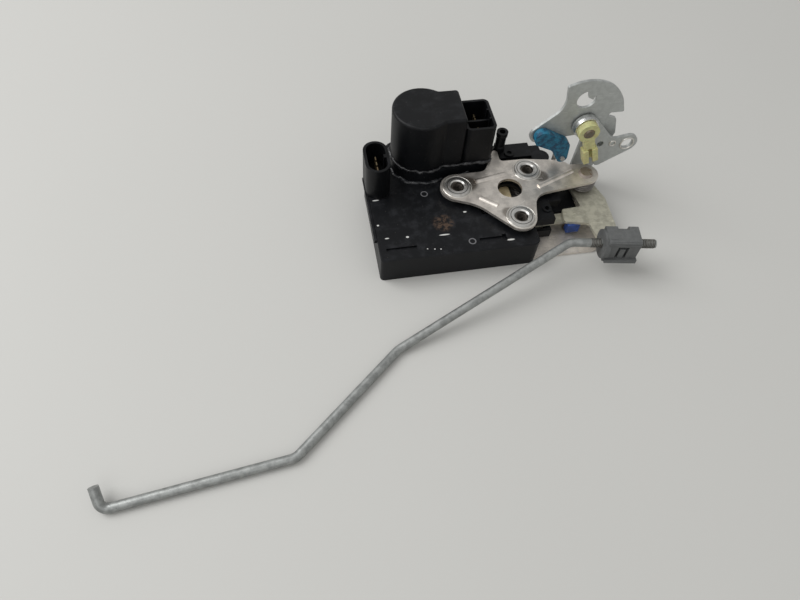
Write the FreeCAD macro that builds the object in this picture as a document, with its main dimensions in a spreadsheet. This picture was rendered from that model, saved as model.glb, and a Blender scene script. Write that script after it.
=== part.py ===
"""Door latch actuator: a vehicle door latch with its power lock drive and one release rod.

Frame: millimetres, +Z up from the mounting face. The origin is on the mounting face, on the axis of
the bush that carries the fork. +X runs along the row of levers, +Y towards the fishmouth's mouth.
"""
import FreeCAD
import Part
import math
import os
import re
from FreeCAD import Placement, Rotation, Vector

SIZES = (
    # Sheet metal and the stack between the two plates
    ("face_thick", 2.0, "face plate sheet"),
    ("back_thick", 2.0, "back plate sheet"),
    ("lever_thick", 2.0, "lever sheet"),
    ("stack_high", 25.5, "mounting face to the top of the back plate"),
    ("run_gap", 0.05, "radial clearance of a turning fit"),
    ("seat_gap", 0.3, "air between pieces that pass each other"),
    ("peg_play", 0.6, "free play before the lifter meets the detent's peg"),
    # Bushes and pivots
    ("left_bush_x", -49.0, "detent bush"),
    ("left_bush_y", -8.7, "detent bush"),
    ("low_bush_x", -14.7, "lifter bush"),
    ("low_bush_y", -38.5, "lifter bush"),
    ("bush_radius", 6.5, "barrel that a lever turns on"),
    ("spigot_radius", 5.5, "foot and neck riveted in the plates"),
    ("bush_head_radius", 8.6, "rolled head"),
    ("bush_head_high", 1.4, "rolled head"),
    ("bush_bore", 3.4, "tapping drill of the M8 thread"),
    ("pivot_x", 38.4, "release lever pivot"),
    ("pivot_y", -8.0, "release lever pivot"),
    ("pivot_radius", 4.0, "release lever pivot"),
    ("pivot_head_radius", 4.8, "rivet head"),
    ("pivot_sleeve_radius", 5.6, "sleeve under the release lever"),
    # Face plate
    ("face_left", -58.0, "face plate"),
    ("face_back", 27.5, "face plate"),
    ("wing_right", 50.0, "face plate"),
    ("slot_x", -21.0, "middle of the fishmouth"),
    ("slot_wide", 12.0, "fishmouth"),
    ("slot_end_y", -15.0, "centre of the fishmouth's round end"),
    ("slot_flare", 4.0, "how far each side of the mouth opens out"),
    ("pivot_lobe", 8.4, "plate round the release pivot"),
    # Back plate
    ("lobe_left", 11.0, "back plate round the detent bush"),
    ("lobe_low", 10.0, "back plate round the lifter bush"),
    ("lobe_top", 10.0, "back plate round the fork bush"),
    ("sight_x", -15.3, "sight hole"),
    ("sight_y", -14.0, "sight hole"),
    ("sight_radius", 8.0, "sight hole"),
    ("bead_radius", 2.2, "pressed stiffening bead"),
    ("bead_rise", 1.0, "pressed stiffening bead"),
    # Moulded case
    ("case_left", -106.0, "case"),
    ("case_right", -5.2, "case"),
    ("case_front", -56.5, "case"),
    ("case_notch_x", -36.0, "where the carrier stands in the case"),
    ("case_rear", 44.2, "case under the motor"),
    ("case_rear_left", -89.0, "case under the motor"),
    ("case_shoulder", 21.0, "rear of the case beside the motor"),
    ("case_high", 19.7, "case"),
    ("case_wall", 2.2, "case"),
    ("case_roof", 2.4, "case"),
    ("lip_high", 2.4, "lip along the left wall"),
    ("lip_out", 1.6, "lip along the left wall"),
    # Motor cover and its collar
    ("dome_x", -68.0, "motor axis"),
    ("dome_y", 23.8, "motor axis"),
    ("dome_radius", 19.1, "motor cover"),
    ("dome_base", 28.0, "top of the collar"),
    ("dome_top", 64.3, "motor cover"),
    ("dome_right", -42.4, "square end of the motor cover"),
    ("dome_front", 8.8, "square end of the motor cover"),
    ("dome_rear", 38.2, "square end of the motor cover"),
    ("dome_wall", 2.0, "motor cover"),
    ("collar_out", 1.3, "collar beyond the motor cover"),
    ("collar_right", -22.4, "collar under the main connector"),
    ("collar_front", 9.6, "collar under the main connector"),
    ("motor_gap", 2.6, "air between motor can and cover"),
    ("motor_radius", "=dome_radius - dome_wall - motor_gap", "motor can"),
    ("motor_high", 36.0, "motor can"),
    ("shaft_radius", 1.2, "motor shaft"),
    # Connectors
    ("plug_right", -22.6, "main connector"),
    ("plug_front", 8.6, "main connector"),
    ("plug_back", 36.4, "main connector"),
    ("plug_top", 56.1, "main connector"),
    ("plug_wall", 1.8, "connector shrouds"),
    ("plug_corner", 3.6, "rounded corners of the main connector"),
    ("plug_deep", 19.0, "socket depth"),
    ("side_plug_x", -99.3, "side connector"),
    ("side_plug_y", 6.4, "side connector"),
    ("side_plug_radius", 7.8, "side connector"),
    ("side_plug_half", 5.8, "half the straight of the side connector"),
    ("side_plug_top", 44.0, "side connector"),
    ("blade_wide", 2.8, "terminal"),
    ("blade_thick", 0.8, "terminal"),
    ("blade_high", 11.0, "terminal"),
    # Carrier beside the case
    ("carrier_right", 17.5, "high part of the carrier"),
    ("carrier_front", -38.5, "front of the carrier"),
    ("carrier_neck_x", 9.5, "front part of the carrier"),
    ("deck_right", 32.0, "low deck of the carrier"),
    ("deck_front", -24.0, "low deck of the carrier"),
    ("deck_back", 8.0, "low deck of the carrier"),
    ("deck_high", 8.5, "low deck of the carrier"),
    ("strip_top", 23.0, "rear strip of the carrier"),
    # Levers between the plates
    ("fork_floor", 3.0, "underside of fork and detent"),
    ("fork_thick", 5.0, "fork and detent"),
    ("fork_hub", 11.5, "fork round its bush"),
    ("fork_reach", 30.5, "fork to its toothed rim"),
    ("relief_bite", 2.5, "how far the fork's teeth sweep into the case's wall"),
    ("case_notch_y", "=relief_bite - fork_reach", "where the carrier stands in the case"),
    ("hook_reach", 26.4, "fork to the end of its hook"),
    ("throat_wide", 11.0, "throat of the fork"),
    ("throat_start", 19.0, "centre of the throat's round end"),
    ("seat_angle", 211.8, "throat direction when latched"),
    ("fork_swing", 75.0, "open to latched"),
    ("tooth_angle", 236.0, "full tooth when latched"),
    ("tooth_deep", 5.3, "height of the fork's teeth"),
    ("tooth_root", "=fork_reach - tooth_deep", "fork under its teeth"),
    ("detent_hub", 10.5, "detent round its bush"),
    ("detent_swing", 11.0, "clear of the fork to engaged"),
    ("peg_from_bush", 23.7, "detent peg to the detent bush"),
    ("peg_radius", 2.0, "detent peg"),
    ("lifter_floor", 9.0, "underside of the lifter"),
    ("lifter_hub", 9.5, "lifter round its bush"),
    ("lifter_swing", 12.0, "lifter stroke"),
    ("release_floor", 12.0, "underside of the release lever"),
    ("release_swing", 20.0, "release lever stroke"),
    ("tab_x", 24.0, "tab under the release lever's arm"),
    ("tab_y", -37.2, "tab under the release lever's arm"),
    ("tab_wide", 6.0, "tab under the release lever's arm"),
    ("tab_low", 6.0, "lower end of the tab"),
    ("sleeve_wall", 1.2, "plastic sleeve on the tab"),
    # Release rod and its adjuster clip
    ("rod_radius", 2.65, "5.3 mm wire"),
    ("rod_high", 23.5, "rod axis at the clip"),
    ("clip_x", 41.0, "clip pivot in the release lever"),
    ("clip_y", -66.0, "clip pivot in the release lever"),
    ("clip_turn", -9.3, "direction of the rod at the clip, degrees"),
    ("clip_long", 20.0, "clip along the rod"),
    ("clip_deep", 14.0, "clip"),
    ("clip_rise", 8.5, "clip above the rod axis"),
    ("clip_drop", 9.0, "clip below the rod axis"),
    ("clip_pin", 3.0, "clip's snap pin"),
    # Levers on the upright bracket
    ("pin_x", 32.6, "lever pin"),
    ("pin_z", 56.5, "lever pin"),
    ("pin_radius", 3.5, "lever pin"),
    ("bracket_y", 8.5, "front of the bracket wall"),
    ("lock_y", 5.5, "front of the lock lever"),
    ("inner_y", 2.5, "front of the inside lever"),
    ("ring_y", 0.3, "front of the pin's washers"),
    ("ring_radius", 8.0, "pin's washers"),
    ("lock_swing", 20.0, "lock lever stroke"),
    ("inner_swing", 15.0, "inside lever stroke"),
    ("eye_x", 66.6, "rod eye of the inside lever"),
    ("eye_z", 38.6, "rod eye of the inside lever"),
    ("eye_hole", 3.8, "rod eye of the inside lever"),
    ("arm_x", 4.6, "link hole of the lock lever"),
    ("arm_z", 50.2, "link hole of the lock lever"),
    ("key_x", 28.7, "large hole of the lock lever"),
    ("key_z", 75.0, "large hole of the lock lever"),
    ("key_radius", 6.2, "large hole of the lock lever"),
    # Power lock drive
    ("gear_x", -76.5, "drive gear"),
    ("gear_y", 6.62, "drive gear"),
    ("gear_teeth", 36, "drive gear"),
    ("pinion_teeth", 12, "motor pinion"),
    ("gear_module", 0.8, "drive gear and motor pinion"),
    ("rack_teeth", 10, "output pinion"),
    ("rack_module", 1.0, "output pinion and rack"),
    ("gear_floor", 9.0, "underside of the drive gear"),
    ("gear_thick", 3.8, "drive gear"),
    ("rack_floor", 13.1, "underside of the rack"),
    ("rack_thick", 3.2, "rack"),
    ("slider_travel", 10.0, "rack stroke"),
    ("slider_end", -3.0, "end of the rack's tongue"),
)

doc = FreeCAD.newDocument("DoorLatchActuator")
sheet = doc.addObject("Spreadsheet::Sheet", "Sizes")
for row, (alias, value, note) in enumerate(SIZES, start=1):
    sheet.set("A%d" % row, note)
    sheet.set("B%d" % row, str(value))
    sheet.setAlias("B%d" % row, alias)
doc.recompute()


class SheetValues:
    """The sheet's values as attributes, for the outlines that are worked out below."""

    def __getattr__(self, alias):
        return float(sheet.get(alias))


s = SheetValues()
parts = []


def bind(item, field, value):
    """Set a property, or tie it to the sheet when the value is a formula of its aliases."""
    if isinstance(value, str):
        item.setExpression(field, re.sub(r"[a-z]+(?:_[a-z]+)+", lambda name: "Sizes." + name.group(0), value))
    else:
        item.setExpression(field, repr(float(value)))


def place(item, x=0.0, y=0.0, z=0.0):
    for axis, value in zip("xyz", (x, y, z)):
        if value != 0.0:
            bind(item, "Placement.Base." + axis, value)


def keep(item, label):
    item.Label = label
    parts.append(item)
    return item


# Outlines


def polar(x, y, radius, degrees):
    turn = math.radians(degrees)
    return x + radius * math.cos(turn), y + radius * math.sin(turn)


def belt(circles):
    """Closed outline round circles (x, y, radius, side): side +1 bulges outward, -1 hollows inward."""
    headings = []
    for (x1, y1, r1, s1), (x2, y2, r2, s2) in zip(circles, circles[1:] + circles[:1]):
        dx, dy = x2 - x1, y2 - y1
        headings.append(math.atan2(dy, dx) - math.asin((s2 * r2 - s1 * r1) / math.hypot(dx, dy)))
    edges = []
    leave = None
    first = None
    for i, (x, y, r, side) in enumerate(circles):
        before, after = headings[i - 1], headings[i]
        sweep = (after - before) % (2 * math.pi) if side > 0 else -((before - after) % (2 * math.pi))
        at = [Vector(x + side * r * math.sin(h), y - side * r * math.cos(h), 0)
              for h in (before, before + sweep / 2, after)]
        if leave is not None:
            edges.append(Part.LineSegment(leave, at[0]))
        else:
            first = at[0]
        edges.append(Part.Arc(*at))
        leave = at[2]
    edges.append(Part.LineSegment(leave, first))
    return edges


def polygon(points):
    corners = [Vector(x, y, 0) for x, y in points]
    return [Part.LineSegment(a, b) for a, b in zip(corners, corners[1:] + corners[:1])]


def rectangle(x1, y1, x2, y2):
    return polygon([(x1, y1), (x2, y1), (x2, y2), (x1, y2)])


def ring(x, y, radius):
    return [Part.Circle(Vector(x, y, 0), Vector(0, 0, 1), radius)]


# Bodies and their features


def new_body(name):
    return doc.addObject("PartDesign::Body", "Body_" + name)


def sketch(body, geometry, plane="XY_Plane", lift=0.0):
    item = body.newObject("Sketcher::SketchObject", body.Name + "_Sketch")
    origin_plane = [part for part in body.Origin.OriginFeatures if part.Role == plane][0]
    item.AttachmentSupport = (origin_plane, [""])
    item.MapMode = "FlatFace"
    if lift != 0.0:
        bind(item, "AttachmentOffset.Base.z", lift)
    item.addGeometry(geometry, False)
    return item


def pad(body, geometry, length, plane="XY_Plane", lift=0.0, backward=False):
    profile = sketch(body, geometry, plane, lift)
    feature = body.newObject("PartDesign::Pad", body.Name + "_Pad")
    feature.Profile = profile
    feature.Reversed = backward
    bind(feature, "Length", length)
    return feature


def pocket(body, geometry, length=None, plane="XY_Plane", lift=0.0, forward=True):
    """Cut along the plane's own normal, or against it when forward is False; no length cuts through."""
    doc.recompute()
    before = body.Shape.Volume
    profile = sketch(body, geometry, plane, lift)
    feature = body.newObject("PartDesign::Pocket", body.Name + "_Pocket")
    feature.Profile = profile
    feature.Reversed = forward
    if length is None:
        feature.Type = 1
    else:
        bind(feature, "Length", length)
    doc.recompute()
    if body.Shape.Volume >= before:
        raise ValueError(body.Name + ": a pocket cut nothing")
    return feature


def soften(body, kind, size, wanted):
    """Fillet or chamfer the edges whose middle point satisfies wanted."""
    doc.recompute()
    shape = body.Tip.Shape
    names = ["Edge%d" % (i + 1) for i, edge in enumerate(shape.Edges)
             if wanted(edge.valueAt((edge.FirstParameter + edge.LastParameter) / 2))]
    base = body.Tip
    feature = body.newObject("PartDesign::" + kind, body.Name + "_" + kind)
    feature.Base = (base, names)
    bind(feature, "Radius" if kind == "Fillet" else "Size", size)
    return feature


def plate(name, outline, holes, thick, plane="XY_Plane"):
    """A flat stamping with round holes (x, y, radius), standing on its plane."""
    body = new_body(name)
    geometry = list(outline)
    for x, y, radius in holes:
        geometry += ring(x, y, radius)
    pad(body, geometry, thick, plane, backward=plane == "XZ_Plane")
    return body


def turned(name, profile, plane="XZ_Plane"):
    """A turned piece on the sketch's vertical axis: profile is a list of (radius, height)."""
    body = new_body(name)
    outline = sketch(body, polygon(profile), plane)
    feature = body.newObject("PartDesign::Revolution", body.Name + "_Revolution")
    feature.Profile = outline
    feature.ReferenceAxis = (outline, ["V_Axis"])
    feature.Angle = 360
    return body


def block(x1, y1, z1, x2, y2, z2):
    """A box between two corners."""
    return Part.makeBox(x2 - x1, y2 - y1, z2 - z1, Vector(x1, y1, z1))


def shaped(name, shape, spot=None):
    """A piece whose form needs solids worked out point by point."""
    item = doc.addObject("Part::Feature", "Solid_" + name)
    item.Shape = shape
    if spot is not None:
        item.Placement = spot
    return keep(item, name)


def joined(name, items):
    """Several features as one piece."""
    item = doc.addObject("Part::MultiFuse", "Joined_" + name)
    item.Shapes = items
    item.Refine = True
    return keep(item, name)


def bush_holes(radius):
    return [(0, 0, radius), (s.left_bush_x, s.left_bush_y, radius), (s.low_bush_x, s.low_bush_y, radius)]


# Frame: plates, bushes and pivot


def make_face_plate():
    front = s.case_front + s.case_wall + 0.5
    outline = belt([
        (s.face_left + 3, front + 3, 3, 1), (s.wing_right - 16, front + 6, 6, 1),
        (s.wing_right - 4, s.pivot_y - 8, 4, 1), (s.wing_right - 2.5, s.bracket_y - 0.5, 2.5, 1),
        (s.carrier_right - 3, s.face_back - 3, 3, 1), (s.face_left + 3, s.face_back - 3, 3, 1)])
    holes = bush_holes(s.spigot_radius + s.run_gap) + [(s.pivot_x, s.pivot_y, s.pivot_radius + s.run_gap)]
    body = plate("face_plate", outline, holes, "face_thick")
    half = s.slot_wide / 2
    mouth = s.face_back + 5
    left, right = s.slot_x - half, s.slot_x + half
    curve = Part.Arc(Vector(left, s.slot_end_y, 0), Vector(s.slot_x, s.slot_end_y - half, 0),
                     Vector(right, s.slot_end_y, 0))
    path = [(right, s.slot_end_y), (right, s.face_back - 8), (right + s.slot_flare, mouth),
            (left - s.slot_flare, mouth), (left, s.face_back - 8), (left, s.slot_end_y)]
    sides = [Part.LineSegment(Vector(*a, 0), Vector(*b, 0)) for a, b in zip(path, path[1:])]
    pocket(body, [curve] + sides)
    keep(body, "face_plate")


def make_back_plate():
    outline = belt([
        (s.low_bush_x, s.low_bush_y, s.lobe_low, 1), (9.5, -32.5, 12, -1),
        (s.pivot_x, s.pivot_y, s.pivot_lobe, 1), (31.5, 4.4, 3.4, -1), (24.2, 4.0, 2.2, 1),
        (0, 0, s.lobe_top, 1), (-13.0, 12.6, 2.4, -1), (-17.0, 18.6, 1.8, 1), (-31.5, 8.5, 6, -1),
        (s.left_bush_x, s.left_bush_y, s.lobe_left, 1), (-56.0, -47.0, 27, -1)])
    holes = bush_holes(s.spigot_radius + s.run_gap) + [
        (s.sight_x, s.sight_y, s.sight_radius), (s.pivot_x, s.pivot_y, s.pivot_radius + s.run_gap)]
    body = plate("back_plate_sheet", outline, holes, "back_thick")
    place(body, z="stack_high - back_thick")
    items = [body]
    for index, (x1, y1, x2, y2) in enumerate(((-36.6, -5.5, -15, -1.5), (-36.7, -19.4, -27, -27.5),
                                              (3.5, -15.2, 30.0, -4.6))):
        bead = doc.addObject("Part::Cylinder", "Bead%d" % index)
        bind(bead, "Radius", "bead_radius")
        bead.Height = math.hypot(x2 - x1, y2 - y1)
        bead.Placement = Placement(Vector(x1, y1, s.stack_high + s.bead_rise - s.bead_radius),
                                   Rotation(Vector(0, 0, 1), Vector(x2 - x1, y2 - y1, 0)))
        items.append(bead)
    joined("back_plate", items)


def make_bush(name, x, y):
    top = s.stack_high + s.bush_head_high
    neck = s.stack_high - s.back_thick
    body = turned(name, [
        (s.bush_bore, 0), (s.spigot_radius, 0), (s.spigot_radius, s.face_thick), (s.bush_radius, s.face_thick),
        (s.bush_radius, neck), (s.spigot_radius, neck), (s.spigot_radius, s.stack_high),
        (s.bush_head_radius, s.stack_high), (s.bush_head_radius - 0.7, top - 0.3), (s.bush_bore + 1.6, top),
        (s.bush_bore, top - 1.6)])
    place(body, x, y)
    keep(body, name)


def make_release_pivot():
    neck = s.stack_high - s.back_thick
    top = s.stack_high + 1.6
    body = turned("release_pivot", [
        (0, 0), (s.pivot_radius, 0), (s.pivot_radius, s.stack_high), (s.pivot_head_radius, s.stack_high),
        (s.pivot_head_radius - 0.8, top), (0, top)])
    place(body, "pivot_x", "pivot_y")
    keep(body, "release_pivot")
    inner = s.pivot_radius + s.run_gap
    sleeve = turned("pivot_sleeve", [
        (inner, 0), (s.pivot_sleeve_radius, 0), (s.pivot_sleeve_radius, s.release_floor - s.face_thick - 0.1),
        (inner, s.release_floor - s.face_thick - 0.1)])
    place(sleeve, "pivot_x", "pivot_y", "face_thick")
    keep(sleeve, "pivot_sleeve")
    low = s.release_floor + s.lever_thick + 0.1
    collar = turned("spring_core", [
        (inner, low), (s.pivot_sleeve_radius, low), (s.pivot_sleeve_radius, neck), (inner, neck)])
    place(collar, "pivot_x", "pivot_y")
    keep(collar, "spring_core")


def coil(radius, wire, turns, leg_angle, leg_long):
    """A torsion spring with one straight leg, its first turn's wire centred on z = 0."""
    pitch = wire * 2 + 0.15
    helix = Part.makeHelix(pitch, pitch * turns, radius)
    start = Vector(radius, 0, 0)
    section = Part.Wire(Part.makeCircle(wire, start, Vector(0, 1, pitch / (2 * math.pi * radius))))
    body = Part.Wire(helix.Edges).makePipeShell([section], True, True)
    end_angle = math.radians(360 * turns)
    end = Vector(radius * math.cos(end_angle), radius * math.sin(end_angle), pitch * turns)
    out = Vector(math.cos(math.radians(leg_angle)), math.sin(math.radians(leg_angle)), 0)
    leg = Part.makeCylinder(wire * 0.95, leg_long, end - out * 0.3, out)
    return body.fuse(leg)


def make_springs():
    wire = 0.8
    low = s.release_floor + s.lever_thick + wire + 0.2
    shaped("release_spring", coil(s.pivot_sleeve_radius + 1.8, wire, 4.25, 180, 6.5),
           Placement(Vector(s.pivot_x, s.pivot_y, low), Rotation()))
    wire = 0.7
    low = s.fork_floor + s.fork_thick + wire + 0.2
    shaped("fork_spring", coil(s.bush_radius + 1.5, wire, 3.25, 180, 6), Placement(Vector(0, 0, low), Rotation()))
    shaped("detent_spring", coil(s.bush_radius + 1.5, wire, 3.25, 180, 6),
           Placement(Vector(s.left_bush_x, s.left_bush_y, low), Rotation()))


# Case, carrier and covers


def case_outline(inset):
    """The case's footprint, drawn in by the given amount."""
    i = inset
    return belt([
        (s.case_left + 2.5, s.case_front + 2.5, 2.5 - i, 1), (s.case_right - 4.5, s.case_front + 4.5, 4.5 - i, 1),
        (s.case_right - 0.6, s.case_notch_y - 0.6, 0.6, 1), (s.case_notch_x + 0.6, s.case_notch_y + 0.6, 0.6, -1),
        (s.case_notch_x - 3, s.case_rear - 3, 3 - i, 1), (s.case_rear_left + 8, s.case_rear - 8, 8 - i, 1),
        (s.case_rear_left - 2, s.case_shoulder + 2, 2 + i, -1),
        (s.case_left + 7, s.case_shoulder - 7, 7 - i, 1)])


def room_outline():
    """The space inside the case's walls, open towards the carrier."""
    w = s.case_wall
    left, front = s.case_left + w, s.case_front + w
    return polygon([
        (left, front), (s.case_right - w, front), (s.case_right - w, s.case_notch_y + 1),
        (s.case_notch_x + 5, s.case_notch_y + 1), (s.case_notch_x + 5, s.face_back - w),
        (s.case_notch_x - w, s.face_back - w), (s.case_notch_x - w, s.case_rear - w),
        (s.case_rear_left + w, s.case_rear - w), (s.case_rear_left + w, s.case_shoulder - w),
        (left, s.case_shoulder - w)])


def collar_outline(inset):
    return belt([
        (s.dome_x, s.dome_y, s.dome_radius + s.collar_out - inset, 1),
        (s.collar_right - 5, s.collar_front + 5, 5 - inset, 1),
        (s.collar_right - 3, s.dome_rear + s.collar_out - 3, 3 - inset, 1)])


def make_case():
    body = new_body("case")
    pad(body, case_outline(0), "case_high")
    soften(body, "Chamfer", 0.6, lambda p: abs(p.z - s.case_high) < 0.01 and p.y < s.case_front + 1.5)
    pocket(body, room_outline(), "case_high - case_roof")
    edge = s.case_front + s.case_wall + 0.2
    pocket(body, rectangle(s.face_left - 0.2, edge, s.case_right + 5, s.face_back + 0.2), "face_thick")
    pad(body, collar_outline(0) + collar_outline(s.case_wall), "dome_base - case_high", lift="case_high")
    clear = s.bush_radius + s.seat_gap
    pocket(body, ring(s.left_bush_x, s.left_bush_y, clear) + ring(s.low_bush_x, s.low_bush_y, clear)
           + ring(s.dome_x, s.dome_y, s.shaft_radius + 0.8))
    window = s.lifter_floor - 0.5
    pocket(body, rectangle(s.case_right - 3, -50, s.case_right + 1, s.case_notch_y + 1), 3.7, lift=window)
    pocket(body, wedge(s.fork_reach - 8, s.fork_reach + s.seat_gap, 250, 268), "fork_floor + fork_thick + seat_gap")
    for x1, x2, widen, deep in ((-101.5, -82.6, 0, 1.2), (-43.0, -28.4, 0, 1.2), (-28.5, -25.8, 1.2, 2.0)):
        pocket(body, rectangle(x1, s.case_front + 7.0 - widen, x2, s.case_front + 9.4 + widen), deep,
               lift="case_high", forward=False)
    pad(body, rectangle(s.case_left - s.lip_out, -40, s.case_left, s.case_shoulder - 8), "lip_high",
        lift="case_high - lip_high")
    keep(body, "case")


def make_bottom_cover():
    inner = s.case_wall + 0.2
    left, front = s.case_left + inner, s.case_front + inner
    right = s.face_left - 0.4
    body = new_body("bottom_cover")
    pad(body, polygon([
        (left, front), (right, front), (right, s.case_rear - inner), (s.case_rear_left + inner, s.case_rear - inner),
        (s.case_rear_left + inner, s.case_shoulder - inner), (left, s.case_shoulder - inner)]), "face_thick")
    pad(body, ring(s.gear_x, s.gear_y, 2.5), "rack_floor + rack_thick - 0.5")
    keep(body, "bottom_cover")


def make_carrier():
    w = s.case_wall
    left, low = s.case_notch_x + 0.5, s.case_notch_y + 0.5
    body = new_body("carrier")
    pad(body, polygon([
        (left, low), (s.case_right + 0.5, low), (s.case_right + 0.5, s.carrier_front),
        (s.carrier_neck_x, s.carrier_front), (s.carrier_neck_x, s.deck_front), (s.carrier_right, s.deck_front),
        (s.carrier_right, s.face_back), (left, s.face_back)]), "case_high - face_thick", lift="face_thick")
    pad(body, rectangle(s.carrier_right - 1, s.deck_front, s.deck_right, s.deck_back), "deck_high - face_thick",
        lift="face_thick")
    roof = "case_high - case_roof - face_thick"
    pocket(body, polygon([
        (left - 1, low - 1), (s.case_right - 1, low - 1), (s.case_right - 1, s.carrier_front + w),
        (s.carrier_neck_x - w, s.carrier_front + w), (s.carrier_neck_x - w, s.deck_front + w),
        (s.carrier_right - w, s.deck_front + w), (s.carrier_right - w, s.face_back - w),
        (left - 1, s.face_back - w)]), roof, lift="face_thick")
    half = s.slot_wide / 2
    pocket(body, rectangle(s.slot_x - half, s.face_back - 2 * w, s.slot_x + half, s.face_back + 1), roof,
           lift="face_thick")
    pocket(body, rectangle(s.case_right - 1, s.carrier_front - 1, s.carrier_right + 1, s.deck_front + 12),
           "release_floor + lever_thick - lifter_floor + 0.9", lift="lifter_floor - 0.5")
    pocket(body, ring(0, 0, s.bush_radius + s.seat_gap) + ring(s.sight_x, s.sight_y, s.sight_radius + 0.8)
           + ring(6.0, -30.0, 1.6))
    strip = polygon([(-16.4, 15), (9, 15), (9, s.face_back), (-16.4, s.face_back)])
    pad(body, strip, "strip_top - case_high", lift="case_high")
    pad(body, ring(-6.5, 18.6, 3.4) + ring(-6.5, 18.6, 1.6), 1.2, lift="strip_top")
    pad(body, ring(14.2, 13.6, 6.0), "strip_top - face_thick", lift="face_thick")
    pad(body, ring(6.0, -30.0, 3.0) + ring(6.0, -30.0, 1.6), 1.2, lift="case_high")
    keep(body, "carrier")
    post = turned("harness_post", [
        (2.0, s.strip_top), (3.8, s.strip_top), (3.8, s.strip_top + 4), (3.3, s.strip_top + 5),
        (3.3, s.strip_top + 12), (3.8, s.strip_top + 13), (3.8, s.strip_top + 16), (2.0, s.strip_top + 16)])
    place(post, -12.6, 23.4)
    keep(post, "harness_post")


def make_striker_guide():
    """Moulded insert above the fishmouth, with the bumper that stops the striker."""
    body = new_body("striker_guide")
    top = s.release_floor + s.lever_thick
    pad(body, polygon([(s.slot_x - 7, -26.5), (s.slot_x + 9, -26.5), (s.slot_x + 10.3, 10), (s.slot_x - 7, 10)]),
        1.8, lift=top - 1.8)
    pad(body, rectangle(s.slot_x - 5, -26.5, s.slot_x + 5, s.slot_end_y - s.slot_wide / 2 - 0.4), 1.2,
        lift=top - 3.0)
    for x in (s.slot_x - 5.5, s.slot_x + 6.5):
        pad(body, rectangle(x - 1.2, -2, x + 1.2, 8), s.case_high - s.case_roof - top, lift=top)
    keep(body, "striker_guide")


def make_motor_cover():
    corner, hollow = 2.2, 3.0
    reach = s.dome_radius + hollow + 0.03

    def beside(y):
        """The hollow corner where the round end meets the square end's side at y."""
        return s.dome_x + math.sqrt(reach ** 2 - (y - s.dome_y) ** 2)
    low, high = s.dome_front - hollow, s.dome_rear + hollow

    def outline(inset):
        return belt([
            (s.dome_x, s.dome_y, s.dome_radius - inset, 1), (beside(low), low, hollow + inset, -1),
            (s.dome_right - corner, s.dome_front + corner, corner - inset, 1),
            (s.dome_right - corner, s.dome_rear - corner, corner - inset, 1),
            (beside(high), high, hollow + inset, -1)])
    body = new_body("motor_cover")
    pad(body, outline(0), "dome_top - dome_base")
    pocket(body, outline(s.dome_wall), "dome_top - dome_base - dome_wall")
    soften(body, "Fillet", 1.8, lambda p: abs(p.z - (s.dome_top - s.dome_base)) < 0.01)
    place(body, z="dome_base")
    keep(body, "motor_cover")
    seal = new_body("cover_seal")
    pad(seal, outline(-1.3) + outline(-0.15), 1.6)
    pocket(seal, rectangle(s.dome_right - 2, s.dome_front - 3, s.dome_right + 3, s.dome_rear + 3))
    place(seal, z="dome_base")
    keep(seal, "cover_seal")


def make_motor():
    foot = s.case_high + 0.2
    body = turned("lock_motor", [
        (0, foot), (4.0, foot), (4.0, foot + 1.5), (s.motor_radius, foot + 1.5),
        (s.motor_radius, foot + s.motor_high - 2), (s.motor_radius - 2, foot + s.motor_high), (0, foot + s.motor_high)])
    pocket(body, rectangle(s.motor_radius - 3, -20, 20, 20), s.motor_high - 6, lift=foot + 3)
    pocket(body, rectangle(-20, -20, 3 - s.motor_radius, 20), s.motor_high - 6, lift=foot + 3)
    pocket(body, ring(0, 0, s.shaft_radius + s.run_gap), 12, lift=foot)
    place(body, "dome_x", "dome_y")
    keep(body, "lock_motor")


def make_connectors():
    body = new_body("main_connector")
    left = s.dome_right + 0.1
    front, back, right = s.plug_front, s.plug_back, s.plug_right

    def outline(inset):
        r = s.plug_corner
        return belt([(x, y, r - inset, 1) for x, y in (
            (left + r, front + r), (right - r, front + r), (right - r, back - r), (left + r, back - r))])
    pad(body, outline(0), "plug_top - dome_base", lift="dome_base")
    pocket(body, outline(s.plug_wall), "plug_deep", lift="plug_top", forward=False)
    middle = (front + back) / 2
    pad(body, rectangle(left + 1, middle - 0.7, right - 1, middle + 0.7), s.plug_deep - 5, lift=s.plug_top - s.plug_deep)
    for y in (middle - 4, middle + 4):
        pad(body, rectangle(right - s.plug_wall - 1.2, y - 0.6, right - 0.5, y + 0.6), "plug_deep",
            lift="plug_top - plug_deep")
    keep(body, "main_connector")
    floor = s.plug_top - s.plug_deep
    blades = []
    for x in (left + 5.0, left + 10.5):
        for y in (middle - 8.0, middle - 4.4, middle + 4.4, middle + 8.0):
            blades.append(block(x - s.blade_thick / 2, y - s.blade_wide / 2, floor,
                                x + s.blade_thick / 2, y + s.blade_wide / 2, floor + s.blade_high))
    shaped("main_terminals", Part.makeCompound(blades))
    side = new_body("side_connector")
    x, y, radius, half = s.side_plug_x, s.side_plug_y, s.side_plug_radius, s.side_plug_half

    def oval(inset):
        return belt([(x, y - half, radius - inset, 1), (x, y + half, radius - inset, 1)])
    pad(side, oval(0), "side_plug_top - case_high", lift="case_high")
    pocket(side, oval(s.plug_wall), 17, lift="side_plug_top", forward=False)
    pad(side, rectangle(x + radius - 3.4, y - 1.4, x + radius - 0.8, y + 1.4), 17, lift=s.side_plug_top - 17)
    keep(side, "side_connector")
    floor = s.side_plug_top - 17
    shaped("side_terminals", Part.makeCompound([
        block(x - s.blade_thick / 2, y + step - s.blade_wide / 2, floor,
              x + s.blade_thick / 2, y + step + s.blade_wide / 2, floor + s.blade_high) for step in (-4.5, 0, 4.5)]))


# Fork, detent and the levers that free it


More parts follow.
